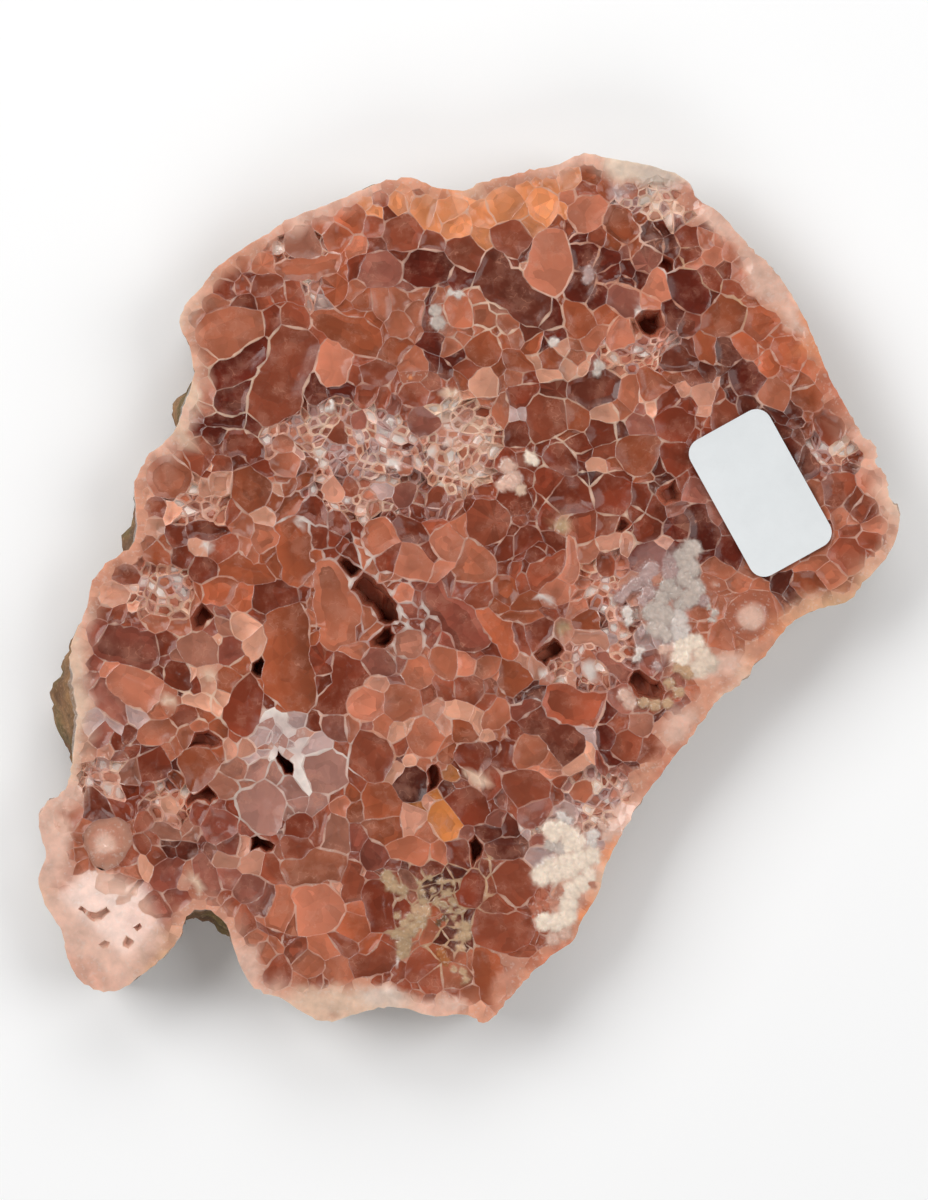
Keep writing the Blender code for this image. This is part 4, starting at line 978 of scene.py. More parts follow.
class CrystalMaker:
    """Builds each kind of crystal on its outline of shared border points."""

    def __init__(self, stone, rng):
        self.stone = stone
        self.rng = rng
        self.settings = stone.settings

    def ring(self, border, spine, inward, height):
        """A ring of new points: each border point moved inward and set to a height."""
        found = []
        for k, index in enumerate(border):
            place = self.stone.plan(index)
            middle = nearest_on(spine, place)
            moved = inward(place, middle)
            found.append(self.stone.point(moved, height(k, moved)))
        return found

    def band(self, outer, inner, outer_tints, inner_tints, part, smooth=True):
        """Faces between two rings of equal length, with a tint for each point of either ring."""
        for k in range(len(outer)):
            self.stone.face((outer[k - 1], outer[k], inner[k], inner[k - 1]),
                            [outer_tints[k - 1], outer_tints[k], inner_tints[k], inner_tints[k - 1]],
                            part, smooth)

    def vein(self, border, spine, tint):
        """The pale vein along a crystal's border, and the ring of points at its inner edge."""
        stone, rng = self.stone, self.rng
        inner = []
        for index in border:
            place = stone.plan(index)
            middle = nearest_on(spine, place)
            reach = (middle - place).length
            width = min(stone.veins[index][0] * rng.uniform(0.7, 1.3), 0.34 * reach)
            inner.append(stone.point(place + (middle - place) * (width / max(reach, 1e-6)),
                                     stone.points[index][2] - 0.02))
        edges = [blended(tint, stone.veins[i][2], stone.veins[i][1]) for i in border]
        inners = [blended(tint, stone.veins[i][2], 0.6 * stone.veins[i][1]) for i in border]
        self.band(border, inner, edges, inners, MILKY, smooth=False)
        return inner

    def split_floor(self, ring, spine, tints, part):
        """A floor cut into two facets by a line across the crystal, each with its own tint."""
        count = len(ring)
        if count < 6:
            self.stone.face(tuple(ring), tints[0](ring), part)
            return
        middle = spine[len(spine) // 2]
        way = heading(self.rng.uniform(0, math.pi))
        if len(spine) > 1:
            way = (spine[-1] - spine[0]).normalized()
        sides = [way.dot(self.stone.plan(i) - middle) for i in ring]
        first = next((k for k in range(count) if sides[k - 1] < 0 <= sides[k]), 0)
        second = next((k for k in range(count) if sides[k - 1] >= 0 > sides[k]), count // 2)
        ahead = [ring[(first + k) % count] for k in range((second - first) % count + 1)]
        behind = [ring[(second + k) % count] for k in range((first - second) % count + 1)]
        if min(len(ahead), len(behind)) < 3:
            self.stone.face(tuple(ring), tints[0](ring), part)
            return
        self.stone.face(tuple(ahead), tints[0](ahead), part)
        self.stone.face(tuple(behind), tints[1](behind), part)

    def painted_shade_tints(self, tint, middle, painted_shade_slope):
        """A function that gives a ring's corner tints, with painted shade evenly across the crystal: lighter
        to one side, darker to the other.
        """
        def corner_tints(ring):
            return [tint * max(0.45, 1.0 + painted_shade_slope.dot(self.stone.plan(i) - middle)) for i in ring]
        return corner_tints

    def window(self, border, spine, tint):
        """A cut crystal: vein, sloping facets and a sunken floor of one or two facets, with painted light and
        shade: facets lighter on the side towards a random light direction, darker away from it.
        """
        rng, stone = self.rng, self.stone
        middle = spine[len(spine) // 2]
        half = min((stone.plan(i) - nearest_on(spine, stone.plan(i))).length for i in border)
        tint = facet_tint(tint, rng, WINDOW_SPREAD)
        inner = self.vein(border, spine, tint)
        steep = STEEP_SINK if rng.random() < STEEP_ODDS else 1.0
        deepest = min(self.settings.window_sink / MM, SINK_SHARE * half + SINK_LEAST)
        sink = THICKNESS - deepest * rng.uniform(0.6, 1.3) * steep
        tilt = any_way(rng) * FLOOR_TILT
        share = rng.uniform(*FLOOR_SHARES)
        lowest = min(stone.points[i][2] for i in border) - 0.06
        if rng.random() < LOW_POINT_ODDS and len(spine) == 1:
            self.low_point(inner, spine, tint, sink)
            return
        floor = self.ring(inner, spine,
                          lambda place, mid: place.lerp(mid, share * rng.uniform(0.9, 1.1)),
                          lambda k, place: min(lowest, sink + tilt.dot(place - middle)))
        # Painted light and shade: facets that face this random light direction are tinted lighter, those
        # turned away darker.
        light = Vector((rng.uniform(-1, 1), rng.uniform(-0.4, 1))).normalized()
        painted_shade_strength = rng.uniform(*PAINTED_FACET_LIGHT)
        rounded = len(border) > ROUND_CORNERS or rng.random() < ROUND_ODDS
        shades = []
        for index in inner:
            out = stone.plan(index) - nearest_on(spine, stone.plan(index))
            painted_shade_facing = out.normalized().dot(light) if out.length > 1e-6 else 0.0
            shades.append(facet_tint(tint * (1.0 + painted_shade_strength * painted_shade_facing), rng, 0.03))
        if rng.random() < CORE_ODDS:
            deep = tint * rng.uniform(0.78, 1.10)
            low = min(stone.points[i][2] for i in floor) - 0.05
            core = self.ring(floor, spine, lambda place, mid: place.lerp(mid, 0.5), lambda k, place: low)
            middles = [blended(shade, deep, 0.5) for shade in shades]
            deeps = [facet_tint(deep, rng, 0.03) for _ in core]
            self.band(inner, floor, shades, middles, CRYSTAL)
            self.band(floor, core, middles, deeps, CRYSTAL)
            stone.face(tuple(core), deeps, CRYSTAL, smooth=True)
            return
        self.band(inner, floor, shades, [shade * 1.05 for shade in shades], CRYSTAL, smooth=rounded)
        # Painted shade across the floor, along the same light direction.
        painted_shade_slope = light * rng.uniform(0.02, 0.10)
        other = facet_tint(tint, rng, 0.12)
        self.split_floor(floor, spine, (self.painted_shade_tints(tint, middle, -painted_shade_slope),
                                        self.painted_shade_tints(other, middle, -painted_shade_slope)), CRYSTAL)

    def low_point(self, ring, spine, tint, height):
        """Facets that fall from a ring to one point, each in its own tone and lighter towards the point; one
        in ten gets a painted peach highlight.
        """
        rng, stone = self.rng, self.stone
        spread = min((stone.plan(i) - spine[0]).length for i in ring)
        tip = spine[0] + any_way(rng) * 0.35 * spread
        top = stone.point(tip, height)
        for k in range(len(ring)):
            shade = facet_tint(tint, rng, 0.11)
            # Painted highlight: a peach flash on one facet in ten.
            if rng.random() < 0.1:
                shade = blended(shade, linear("peach"), rng.uniform(0.1, 0.3))
            stone.face((ring[k - 1], ring[k], top), [shade * 0.95, shade * 0.95, shade * 1.1], CRYSTAL)

    def sugar(self, border, spine, tint):
        """A tiny crystal: a pale border round a darker dimple, or now and then a painted white glint."""
        rng, stone = self.rng, self.stone
        pale = blended(tint, linear(rng.choice(("cream", "blush", "lilac"))), rng.uniform(0.3, 0.9))
        deep = blended(tint, linear(rng.choice(("clay", "mauve", "brick"))), rng.uniform(0.3, 1.0))
        # Painted highlight: three in ten get a milky white floor as a glint.
        if rng.random() < 0.3:
            deep = blended(pale, linear("milk"), rng.uniform(0.5, 1.0))
        pale, deep = facet_tint(pale, rng, 0.08), facet_tint(deep, rng, 0.12)
        share, base = rng.uniform(0.28, 0.5), min(stone.points[i][2] for i in border)
        inner = self.ring(border, spine, lambda place, mid: place.lerp(mid, share),
                          lambda k, place: base - rng.uniform(-0.05, 0.3))
        pales = [facet_tint(pale, rng, 0.08) for _ in border]
        self.band(border, inner, pales, [blended(one, deep, 0.3) for one in pales], CRYSTAL, smooth=False)
        # Painted shade across the dimple's floor: lighter to one side, darker to the other.
        painted_shade_slope = any_way(rng) * 0.25
        stone.face(tuple(inner), self.painted_shade_tints(deep, spine[0], painted_shade_slope)(inner), CRYSTAL)

    def milky(self, border, spine, tint, patch_tint):
        """A small part of a milky patch: level with the face, or a soft lump where the patch is rough."""
        stone, rng = self.stone, self.rng
        if patch_tint not in ("milk", "olive", "lilac"):
            stone.face(tuple(border), tint, MILKY)
            return
        sunk = 0.45 if patch_tint == "olive" else 0.0
        top = stone.point(spine[0], min(stone.points[i][2] for i in border) + rng.uniform(-0.25, 0.12) - sunk)
        for k in range(len(border)):
            stone.face((border[k - 1], border[k], top), tint, MILKY, smooth=True)

    def bead(self, border, spine, tint, core, share):
        """A round lump of pale stone: a level border, and a dome with a crisp core."""
        stone, rng = self.stone, self.rng
        middle = spine[0]
        base = min(stone.points[i][2] for i in border)
        ways = [stone.plan(i) - middle for i in border]
        reach = 0.94 * min(way.length for way in ways)
        turns = [math.atan2(way.y, way.x) for way in ways]
        angles = []
        for k, turn in enumerate(turns):
            gap = (turn - turns[k - 1] + math.pi) % (2 * math.pi) - math.pi
            angles += [turns[k - 1] + gap * n / 3 for n in (1, 2, 3)]
        outer, edge = None, blended(tint, linear("clay"), 0.2)
        rings = ((1.0, 0.0), (share + 0.4 * (1.0 - share), 0.15), (share * 0.9, 0.85), (share * 0.5, 1.0))
        for radius, blend in rings:
            ring = []
            for angle in angles:
                way = heading(angle)
                seat = Vector((0.7 * middle.x, 0.7 * middle.y, 2.0 * radius))
                uneven = 1.0 + 0.22 * noise.noise((way * 1.1).to_3d() + seat)
                ring.append(stone.point(
                    middle + way * reach * radius * uneven * (0.92 if radius == 1.0 else 1.0),
                    base + 0.10 * reach * (1.0 - radius * radius) - 0.06))
            shades = [facet_tint(blended(edge, core, blend), rng, 0.04) for _ in angles]
            if outer is None:
                for k in range(len(border)):
                    near = (ring[3 * k + 2], ring[3 * k + 1], ring[3 * k], ring[3 * k - 1])
                    stone.face((border[k - 1], border[k], *near), edge, MILKY)
            else:
                self.band(outer, ring, outer_shades, shades, MILKY)
            outer, outer_shades = ring, shades
        stone.face(tuple(outer), core * 1.03, MILKY, smooth=True)

    def hollow(self, border, spine, tint, depth):
        """An open hollow: pale lip, smooth crystal faces down to a tilted dark floor in two facets, with
        painted shade: the faces are tinted darker from the lip down to the floor and lighter and darker by
        the way they face, and one floor facet is tinted darker than the other.
        """
        rng, stone = self.rng, self.stone
        middle = spine[len(spine) // 2]
        lip = self.vein(border, spine, linear("brick"))
        way = heading(rng.uniform(0, 2 * math.pi))
        half = min((stone.plan(i) - middle).length for i in lip)

        def level(place, share):
            lean = way.dot(place - middle) / max(half, 0.5)
            bumps = noise.noise(place.to_3d() * 0.5)
            return THICKNESS - depth * share * max(0.35, 1.0 + 0.16 * lean + 0.35 * bumps)

        ledge = self.ring(lip, spine, lambda place, mid: place.lerp(mid, 0.26),
                          lambda k, place: level(place, 0.42))
        foot = self.ring(ledge, spine, lambda place, mid: place.lerp(mid, 0.34),
                         lambda k, place: level(place, 0.8))
        # Painted shade: each wall is tinted lighter and darker by the way it faces, and darker from the lip
        # down to the foot.
        shades = []
        for k in range(len(border)):
            run = stone.plan(border[k]) - stone.plan(border[k - 1])
            painted_shade_facing = noise.noise(Vector((run.x, run.y, 3.0)).normalized() * 1.3 + middle.to_3d())
            shades.append(facet_tint(tint, rng, 0.07) * (1.0 + 0.5 * painted_shade_facing))
        self.band(lip, ledge, [shade * 1.15 for shade in shades], shades, CRYSTAL, smooth=False)
        self.band(ledge, foot, shades, [shade * 0.85 for shade in shades], CRYSTAL, smooth=False)
        # Painted shade: one floor facet darker, the other lighter, each shaded across.
        painted_shade_slope = way * rng.uniform(0.05, 0.15)
        self.split_floor(foot, spine, (self.painted_shade_tints(tint * 0.9, middle, painted_shade_slope),
                                       self.painted_shade_tints(tint * 1.15, middle, -painted_shade_slope)), CRYSTAL)


def border_points(names, corners, known, between, stone, rng):
    """Points along a crystal's outline: its corners, with bent points between the far ones."""

    def add(place, luck):
        index = stone.point(place, border_height(place))
        stone.veins[index] = vein_at(place, luck, stone.settings)
        return index

    found = []
    for k, name in enumerate(names):
        before = names[k - 1]
        key = edge_key(before, name)
        if key not in between:
            a, b = corners[key[0]], corners[key[1]]
            count = int((b - a).length / BORDER_STEP)
            luck = vein_luck(rng)
            between[key] = []
            for n in range(count):
                share = (n + 1) / (count + 1)
                place = a.lerp(b, share)
                bend = (noise.noise_vector(place.to_3d() * 0.7).to_2d() * BORDER_BEND
                        * math.sin(math.pi * share))
                between[key].append(add(place + bend, luck))
        run = between[key] if key[0] == before else between[key][::-1]
        if before not in known:
            known[before] = add(corners[before], vein_luck(rng))
        found.append(known[before])
        found.extend(run)
    return found


def border_height(place):
    return THICKNESS - SUGAR_SINK * sugar_at(place)


def open_edge(stone):
    """The open border left round the face, anticlockwise seen from above."""
    steps = {}
    for names in stone.faces:
        for k, name in enumerate(names):
            steps[(names[k - 1], name)] = True
    after = {a: b for a, b in steps if (b, a) not in steps}
    start = min(after)
    loop = [start]
    while after[loop[-1]] != start and len(loop) < len(after):
        loop.append(after[loop[-1]])
    return loop


def wall_offset(place, out, level):
    """Where the rind's surface lies at one level below a place on the cut edge."""
    swell = rind_shift(place) * min(1.0, 1.6 * (1.0 - level))
    spot = Vector((place.x, place.y, THICKNESS * level))
    lump = LUMP_HEIGHT * noise.noise(spot / LUMP_SPAN) + KNOB_HEIGHT * abs(noise.noise(spot / KNOB_SPAN))
    below = min(1.0, 6.0 * (1.0 - level))
    grit = GRIT_HEIGHT * (noise.noise(spot / GRIT_SPAN) - 0.4 * abs(noise.noise(spot * 2.1 / GRIT_SPAN)))
    inward = 0.4 * LUMP_HEIGHT + UNDERCUT * (1.0 - level) ** 2
    bulge = lump + grit - inward
    if bulge > 0.0:
        bulge *= BULGE_SHARE
    return swell + out * below * bulge


def rind_tint(place, skin, level, rng):
    """The rind's tint: the milky skin under the cut edge, then brown and mossy crust."""
    spot = Vector((place.x, place.y, THICKNESS * level))
    patch = noise.noise(spot / 5.0)
    crust = blended(linear("umber"), linear("earth"), clamped(0.6 + 1.8 * patch))
    crust = blended(crust, linear("moss"),
                    min(0.7, max(0.0, 1.8 * noise.noise(spot / 4.0 + Vector((9, 3, 1))))))
    depth = (1.0 - level) * THICKNESS + 2.4 * noise.noise(spot / 3.0) + 1.5 * rind_shift(place).length
    return facet_tint(blended(skin, crust, clamped((depth - SKIN_DEPTH) / SKIN_FADE)), rng, 0.08)


def build_wall(stone, edge, field, rng):
    """Rind from the cut edge down to the foot. Returns the foot's points."""
    count = len(edge)
    places = [stone.plan(i) for i in edge]
    outs = []
    for k in range(count):
        along = places[(k + 2) % count] - places[k - 2]
        outs.append(Vector((along.y, -along.x)).normalized())
    upper = edge
    skins = [field.at(place)[1] for place in places]
    tints = skins
    for level in (*WALL_LEVELS, 0.0):
        lower = [stone.point(place + wall_offset(place, out, level), THICKNESS * level)
                 for place, out in zip(places, outs)]
        lower_tints = [rind_tint(place, skin, level, rng) for place, skin in zip(places, skins)]
        part = MILKY if level > SKIN_LEVEL else RIND
        for k in range(count):
            stone.face((upper[k], upper[k - 1], lower[k - 1], lower[k]),
                       [tints[k], tints[k - 1], lower_tints[k - 1], lower_tints[k]], part)
        upper, tints = lower, lower_tints
    return upper


def build_back(stone, outlines, edge, foot, rng):
    """The sawn back: the same crystals seen from behind, cut flat."""
    edge_places = [stone.plan(i) for i in edge]
    shifts = [stone.plan(f) - place for f, place in zip(foot, edge_places)]
    tree = tree_of(edge_places)
    copies = dict(zip(edge, foot))
    dull = linear(BACK_TINT)

    def behind(index):
        if index not in copies:
            place = stone.plan(index)
            _, k, gone = tree.find(place.to_3d())
            copies[index] = stone.point(place + shifts[k] * math.exp(-gone / BACK_FADE), 0.0)
        return copies[index]

    for border, spine, tint, kind in outlines:
        names = [behind(i) for i in border][::-1]
        tint = blended(facet_tint(tint, rng, 0.08), dull, 0.22)
        half = min((stone.plan(i) - nearest_on(spine, stone.plan(i))).length for i in border)
        if kind != "window" or half < BACK_VEIN_FROM:
            stone.face(tuple(names), tint, SAWN)
            continue
        inner = []
        for name, index in zip(names, border[::-1]):
            place = stone.plan(name)
            middle = nearest_on(spine, place)
            width = min(1.4 * stone.veins[index][0], 0.3 * (middle - place).length)
            inner.append(stone.point(place + (middle - place).normalized() * width, 0.0))
        pale = blended(tint, linear(VEIN_TINT), 0.55)
        for k in range(len(names)):
            stone.face((names[k - 1], names[k], inner[k], inner[k - 1]),
                       [pale, pale, blended(pale, tint, 0.3), blended(pale, tint, 0.3)], SAWN)
        stone.face(tuple(inner), tint, SAWN)


def split_triangle(corners, middles):
    """The triangles that replace one whose edges have new middle corners, or None where an edge has none."""
    for _ in range(3):
        (a, b, c), (ab, bc, ca) = corners, middles
        if ab and bc and ca:
            return [(a, ab, ca), (ab, b, bc), (ca, bc, c), (ab, bc, ca)]
        if ab and bc:
            return [(ab, b, bc), (a, ab, bc), (a, bc, c)]
        if ab and not ca:
            return [(a, ab, c), (ab, b, c)]
        corners, middles = corners[1:] + corners[:1], middles[1:] + middles[:1]
    return [tuple(corners)]


def refine(stone, too_long):
    """Cuts the faces with too long edges into triangles, and gives their neighbours the new corners."""
    known = {}

    def middle_of(one, other):
        """The name of the new corner in the middle of an edge, or None if the edge is short enough."""
        key = edge_key(one, other)
        if key not in known:
            start, end = Vector(stone.points[one]), Vector(stone.points[other])
            middle = (start + end) / 2
            known[key] = stone.point(middle.xy, middle.z) if too_long(middle, (start - end).length) else None
        return known[key]

    rows, corner = [], 0
    for names, part, smooth in zip(stone.faces, stone.parts, stone.smooth):
        face = list(zip(names, stone.tints[corner:corner + len(names)]))
        corner += len(names)
        middle = sum((Vector(stone.points[name]) for name in names), Vector()) / len(names)
        reach = max((Vector(stone.points[name]) - middle).length for name in names)
        if not too_long(middle, 2 * reach):
            rows.append((face, False, part, smooth))
        elif len(face) == 3:
            rows.append((face, True, part, smooth))
        else:
            hub = (stone.point(middle.xy, middle.z), sum(tint for _, tint in face) / len(face))
            rows += [([face[i], face[(i + 1) % len(face)], hub], True, part, smooth)
                     for i in range(len(face))]
    for _ in range(REFINE_ROUNDS):
        wanted = set()
        for face, small, _, _ in rows:
            for i in range(3 if small else 0):
                one, other = face[i][0], face[(i + 1) % 3][0]
                if middle_of(one, other) is not None:
                    wanted.add(edge_key(one, other))
        if not wanted:
            break
        cut_rows = []
        for face, small, part, smooth in rows:
            found = []
            for i, (one, tint) in enumerate(face):
                other, next_tint = face[(i + 1) % len(face)]
                key = edge_key(one, other)
                found.append((known[key], (tint + next_tint) / 2) if key in wanted else None)
            if not any(found):
                cut_rows.append((face, small, part, smooth))
            elif small:
                cut_rows += [(list(piece), True, part, smooth) for piece in split_triangle(face, found)]
            else:
                wider = [spot for pair in zip(face, found) for spot in pair if spot]
                cut_rows.append((wider, False, part, smooth))
        rows = cut_rows
    stone.faces = [tuple(name for name, _ in row[0]) for row in rows]
    stone.tints = [tint for row in rows for _, tint in row[0]]
    stone.parts = [row[2] for row in rows]
    stone.smooth = [row[3] for row in rows]


class Knobs:
    """The pale lumps as overlapping round knobs with frayed edges."""

    def __init__(self):
        rows = [(x, y, width, linear(tint)) for tint, knobs in LUMPS for x, y, width in knobs]
        self.middles = np.array([row[:2] for row in rows])
        self.widths = np.array([row[2] for row in rows]) * KNOB_GROWTH
        self.tints = [row[3] for row in rows]

    def distances(self, place):
        return np.hypot(self.middles[:, 0] - place.x, self.middles[:, 1] - place.y)

    def near(self, place, margin):
        return bool(np.any(self.distances(place) < 1.2 * self.widths + 0.35 + margin))

    def at(self, place):
        """Share of the lumps at a place, their tint there with painted shade in the creases, where knobs meet
        and on the flanks, and how far they stand up.
        """
        spot = place.to_3d()
        frayed = place + 0.34 * noise.noise_vector(spot * 1.1).xy + 0.20 * noise.noise_vector(spot * 2.9).xy
        away = self.distances(frayed) / self.widths
        nearest = int(np.argmin(away))
        best, tint = float(away[nearest]), self.tints[nearest]
        away[nearest] = 9.0
        second = float(away.min())
        if best > KNOB_REACH:
            return 0.0, None, 0.0
        share = clamped((KNOB_REACH - best) / KNOB_FADE)
        buds = noise.voronoi(spot * 1.15)[0]
        crease = clamped((buds[1] - buds[0]) / 0.28)
        meeting = min(1.0, 0.45 + (second - best) * 1.6)
        # Painted shade: darker in the creases between buds, where two knobs meet and towards each knob's
        # edge.
        shade = (0.89 + 0.11 * crease) * (0.90 + 0.10 * meeting) * (1.0 + 0.10 * noise.noise(spot * 2.2))
        shade *= 1.0 - 0.20 * min(1.0, max(0.0, best - 0.55) / 0.6)
        rise = KNOB_RISE * math.sqrt(max(0.0, 1.0 - (best / KNOB_REACH) ** 2)) * (0.45 + 0.55 * crease)
        return share, tint * shade, rise


def fine_enough(field, knobs):
    """Tells which edges on the sawn face are too long to carry the lumps and the frayed milky patches."""

    def too_long(middle, length):
        if middle.z < THICKNESS - FACE_DEPTH or length < KNOB_EDGE:
            return False
        if knobs.near(middle.xy, length / 2):
            return True
        return length > PATCH_EDGE and PATCH_FRAY[0] < field.patch(middle.xy)[0] < PATCH_FRAY[1]

    return too_long


def fade_to_pale(stone, field, knobs):
    """Blends the faces' tints towards the milky patches, the band along the edge and the lumps."""
    pale, lumps = {}, {}
    corner = 0
    for k, names in enumerate(stone.faces):
        least = 1.0
        for name in names:
            if name not in pale:
                place = stone.plan(name)
                pale[name] = field.at(place)
                raised = stone.points[name][2] > THICKNESS - FACE_DEPTH and knobs.near(place, 0.2)
                lumps[name] = knobs.at(place) if raised else (0.0, None, 0.0)
                share, _, rise = lumps[name]
                if share:
                    x, y, height = stone.points[name]
                    stone.points[name] = (
                        x, y, height * (1.0 - share) + (THICKNESS - KNOB_SINK + rise) * share)
            share, tint = pale[name]
            if stone.points[name][2] < THICKNESS - 1.2:
                share *= 0.3
            blend = blended(stone.tints[corner], tint, share)
            # The lumps' tints carry painted shade in their creases and on their flanks.
            share, tint, _ = lumps[name]
            if share:
                blend = blended(blend, tint, share)
            least = min(least, share)
            stone.tints[corner] = blend
            corner += 1
        if least > 0.4:
            stone.parts[k] = MILKY
            stone.smooth[k] = True


def build_stone(settings):
    """The whole slice in plan millimetres."""
    rng = random.Random(SEED)
    noise.seed_set(NOISE_SEED)
    layout = Layout()
    gauge = EdgeGauge(even_loop(CUT_EDGE, GAUGE_STEP))
    field = PaleField(gauge)
    layout.add_rim(rng)
    layout.add_placed(gauge)
    layout.add_fill(gauge, field, rng, settings.grain / MM, settings.sugar_grain / MM)
    corners, cells = crystal_cells(layout)
    bend_corners(corners, gauge)
    close_short_edges(corners, cells, settings.shortest_edge / MM)
    stone = StoneMesh(settings)
    maker = CrystalMaker(stone, rng)
    known, between, outlines_behind = {}, {}, []
    for owner, outlines in sorted(cells.items()):
        joined = joined_outline(outlines) if owner != RIM_CRYSTAL and outlines else None
        for names in [joined] if joined else outlines:
            border = border_points(names, corners, known, between, stone, rng)
            spine = spine_of(outlines if joined else [names], corners)
            if owner == RIM_CRYSTAL:
                tint = facet_tint(linear(rng.choice(("clay", "rose", "peach"))), rng, 0.15)
                maker.milky(border, spine, tint, None)
                outlines_behind.append((border, spine, tint, "rim"))
                continue
            crystal = layout.crystals[owner]
            tint = linear(crystal.tint)
            if crystal.kind == "window":
                maker.window(border, spine, tint)
            elif crystal.kind == "sugar":
                maker.sugar(border, spine, tint)
            elif crystal.kind == "milky":
                maker.milky(border, spine, tint, crystal.core)
            elif crystal.kind == "bead":
                maker.bead(border, spine, tint, linear(crystal.core), crystal.size)
            else:
                maker.hollow(border, spine, tint, crystal.size)
            outlines_behind.append((border, spine, tint, crystal.kind))
    knobs = Knobs()
    refine(stone, fine_enough(field, knobs))
    fade_to_pale(stone, field, knobs)
    edge = open_edge(stone)
    foot = build_wall(stone, edge, field, rng)
    build_back(stone, outlines_behind, edge, foot, rng)
    return stone


def mesh_object(name, points, faces, shift):
    """A new object from points and faces in plan millimetres, moved by the shift, in metres."""
    mesh = bpy.data.meshes.new(name)
    coords = (np.array(points, float) + shift) * MM
    mesh.from_pydata(coords.tolist(), [], faces)
    made = bpy.data.objects.new(name, mesh)
    bpy.context.scene.collection.objects.link(made)
    return made


def plan_shift():
    """How the plan's millimetres lie in the frame: the label's place gives it."""
    low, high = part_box("sticker")
    middle = (low + high) / 2 / MM
    return np.array([middle.x - LABEL_CENTRE[0], middle.y - LABEL_CENTRE[1], 0.0])


# ---------------------------------------------------------------- finishes

def new_group(name, inputs, outputs):
    """An empty node group with named sockets."""
    group = bpy.data.node_groups.new(name, "ShaderNodeTree")
    for label, kind, value in inputs:
        socket = group.interface.new_socket(name=label, in_out="INPUT", socket_type=kind)
        if value is not None:
            socket.default_value = value
    for label, kind in outputs:
        group.interface.new_socket(name=label, in_out="OUTPUT", socket_type=kind)
    return group, group.nodes.new("NodeGroupInput"), group.nodes.new("NodeGroupOutput")


class Wiring:
    """Short ways to add nodes to one tree."""

    def __init__(self, tree):
        self.tree = tree

    def node(self, kind, **values):
        made = self.tree.nodes.new("ShaderNode" + kind)
        for key, value in values.items():
            setattr(made, key, value)
        return made

    def link(self, source, target):
        self.tree.links.new(source, target)

    def feed(self, target, value):
        """Links a socket or sets a plain value."""
        if isinstance(value, bpy.types.NodeSocket):
            self.link(value, target)
        else:
            target.default_value = value

    def math(self, operation, *values):
        made = self.node("Math", operation=operation)
        for socket, value in zip(made.inputs, values):
            self.feed(socket, value)
        return made.outputs[0]

    def noise(self, coords, scale, detail, roughness=0.5):
        made = self.node("TexNoise")
        self.feed(made.inputs["Vector"], coords)
        self.feed(made.inputs["Scale"], scale)
        made.inputs["Detail"].default_value = detail
        made.inputs["Roughness"].default_value = roughness
        return made

    def voronoi(self, coords, scale):
        made = self.node("TexVoronoi")
        self.feed(made.inputs["Vector"], coords)
        self.feed(made.inputs["Scale"], scale)
        return made

    def spread(self, value, low, high, to_low=0.0, to_high=1.0):
        """Maps a range onto another, clamped."""
        made = self.node("MapRange")
        self.feed(made.inputs["Value"], value)
        for label, number in (("From Min", low), ("From Max", high), ("To Min", to_low), ("To Max", to_high)):
            self.feed(made.inputs[label], number)
        return made.outputs["Result"]

    def mix(self, share, one, other):
        """One tint towards another by a share."""
        made = self.node("Mix", data_type="RGBA")
        self.feed(made.inputs[0], share)
        self.feed(made.inputs[6], one)
        self.feed(made.inputs[7], other)
        return made.outputs[2]

    def brighten(self, tint, factor):
        """A tint times a number."""
        made = self.node("VectorMath", operation="SCALE")
        self.feed(made.inputs[0], tint)
        self.feed(made.inputs["Scale"], factor)
        return made.outputs[0]


def inner_facets_group():
    """Planes, clouds and hairline cracks inside a crystal."""
    group, given, out = new_group(
        "Inner facets",
        [("Tint", "NodeSocketColor", None), ("Coords", "NodeSocketVector", None),
         ("Facet size", "NodeSocketFloat", 700.0), ("Depth", "NodeSocketFloat", 0.35),
         ("Pale", "NodeSocketColor", None), ("Clouds", "NodeSocketFloat", 0.25)],
        [("Tint", "NodeSocketColor"), ("Height", "NodeSocketFloat"), ("Gloss", "NodeSocketFloat")])
    wire = Wiring(group)
    bend = wire.noise(given.outputs["Coords"], 420.0, 2.0)
    moved = wire.node("VectorMath", operation="MULTIPLY_ADD")
    wire.link(bend.outputs["Color"], moved.inputs[0])
    moved.inputs[1].default_value = (0.0011, 0.0011, 0.0011)
    wire.link(given.outputs["Coords"], moved.inputs[2])
    planes = wire.voronoi(moved.outputs[0], given.outputs["Facet size"])
    split = wire.node("SeparateColor")
    wire.link(planes.outputs["Color"], split.inputs[0])
    shade = wire.spread(split.outputs[0], 0.0, 1.0, -1.0, 1.0)
    lift = wire.math("MULTIPLY_ADD", shade, given.outputs["Depth"], 1.0)
    tint = wire.brighten(given.outputs["Tint"], lift)
    cloud = wire.noise(given.outputs["Coords"], 260.0, 4.0, 0.62)
    haze = wire.spread(cloud.outputs["Fac"], 0.47, 0.72)
    haze = wire.math("MULTIPLY", haze, given.outputs["Clouds"])
    tint = wire.mix(haze, tint, given.outputs["Pale"])
    line = wire.math("ABSOLUTE", wire.math("SUBTRACT", bend.outputs["Fac"], 0.5))
    hair = wire.spread(line, 0.0, 0.012, 1.0, 0.0)
    hair = wire.math("MULTIPLY", hair, wire.spread(cloud.outputs["Fac"], 0.50, 0.60))
    tint = wire.mix(wire.math("MULTIPLY", hair, 0.55), tint, given.outputs["Pale"])
    wire.link(tint, out.inputs["Tint"])
    ripple = wire.noise(given.outputs["Coords"], 900.0, 1.0)
    height = wire.math("ADD", wire.math("MULTIPLY", split.outputs[1], 0.6),
                       wire.math("MULTIPLY", ripple.outputs["Fac"], 0.4))
    wire.link(height, out.inputs["Height"])
    wire.link(wire.spread(cloud.outputs["Fac"], 0.35, 0.7, 0.12, 0.38), out.inputs["Gloss"])
    return group


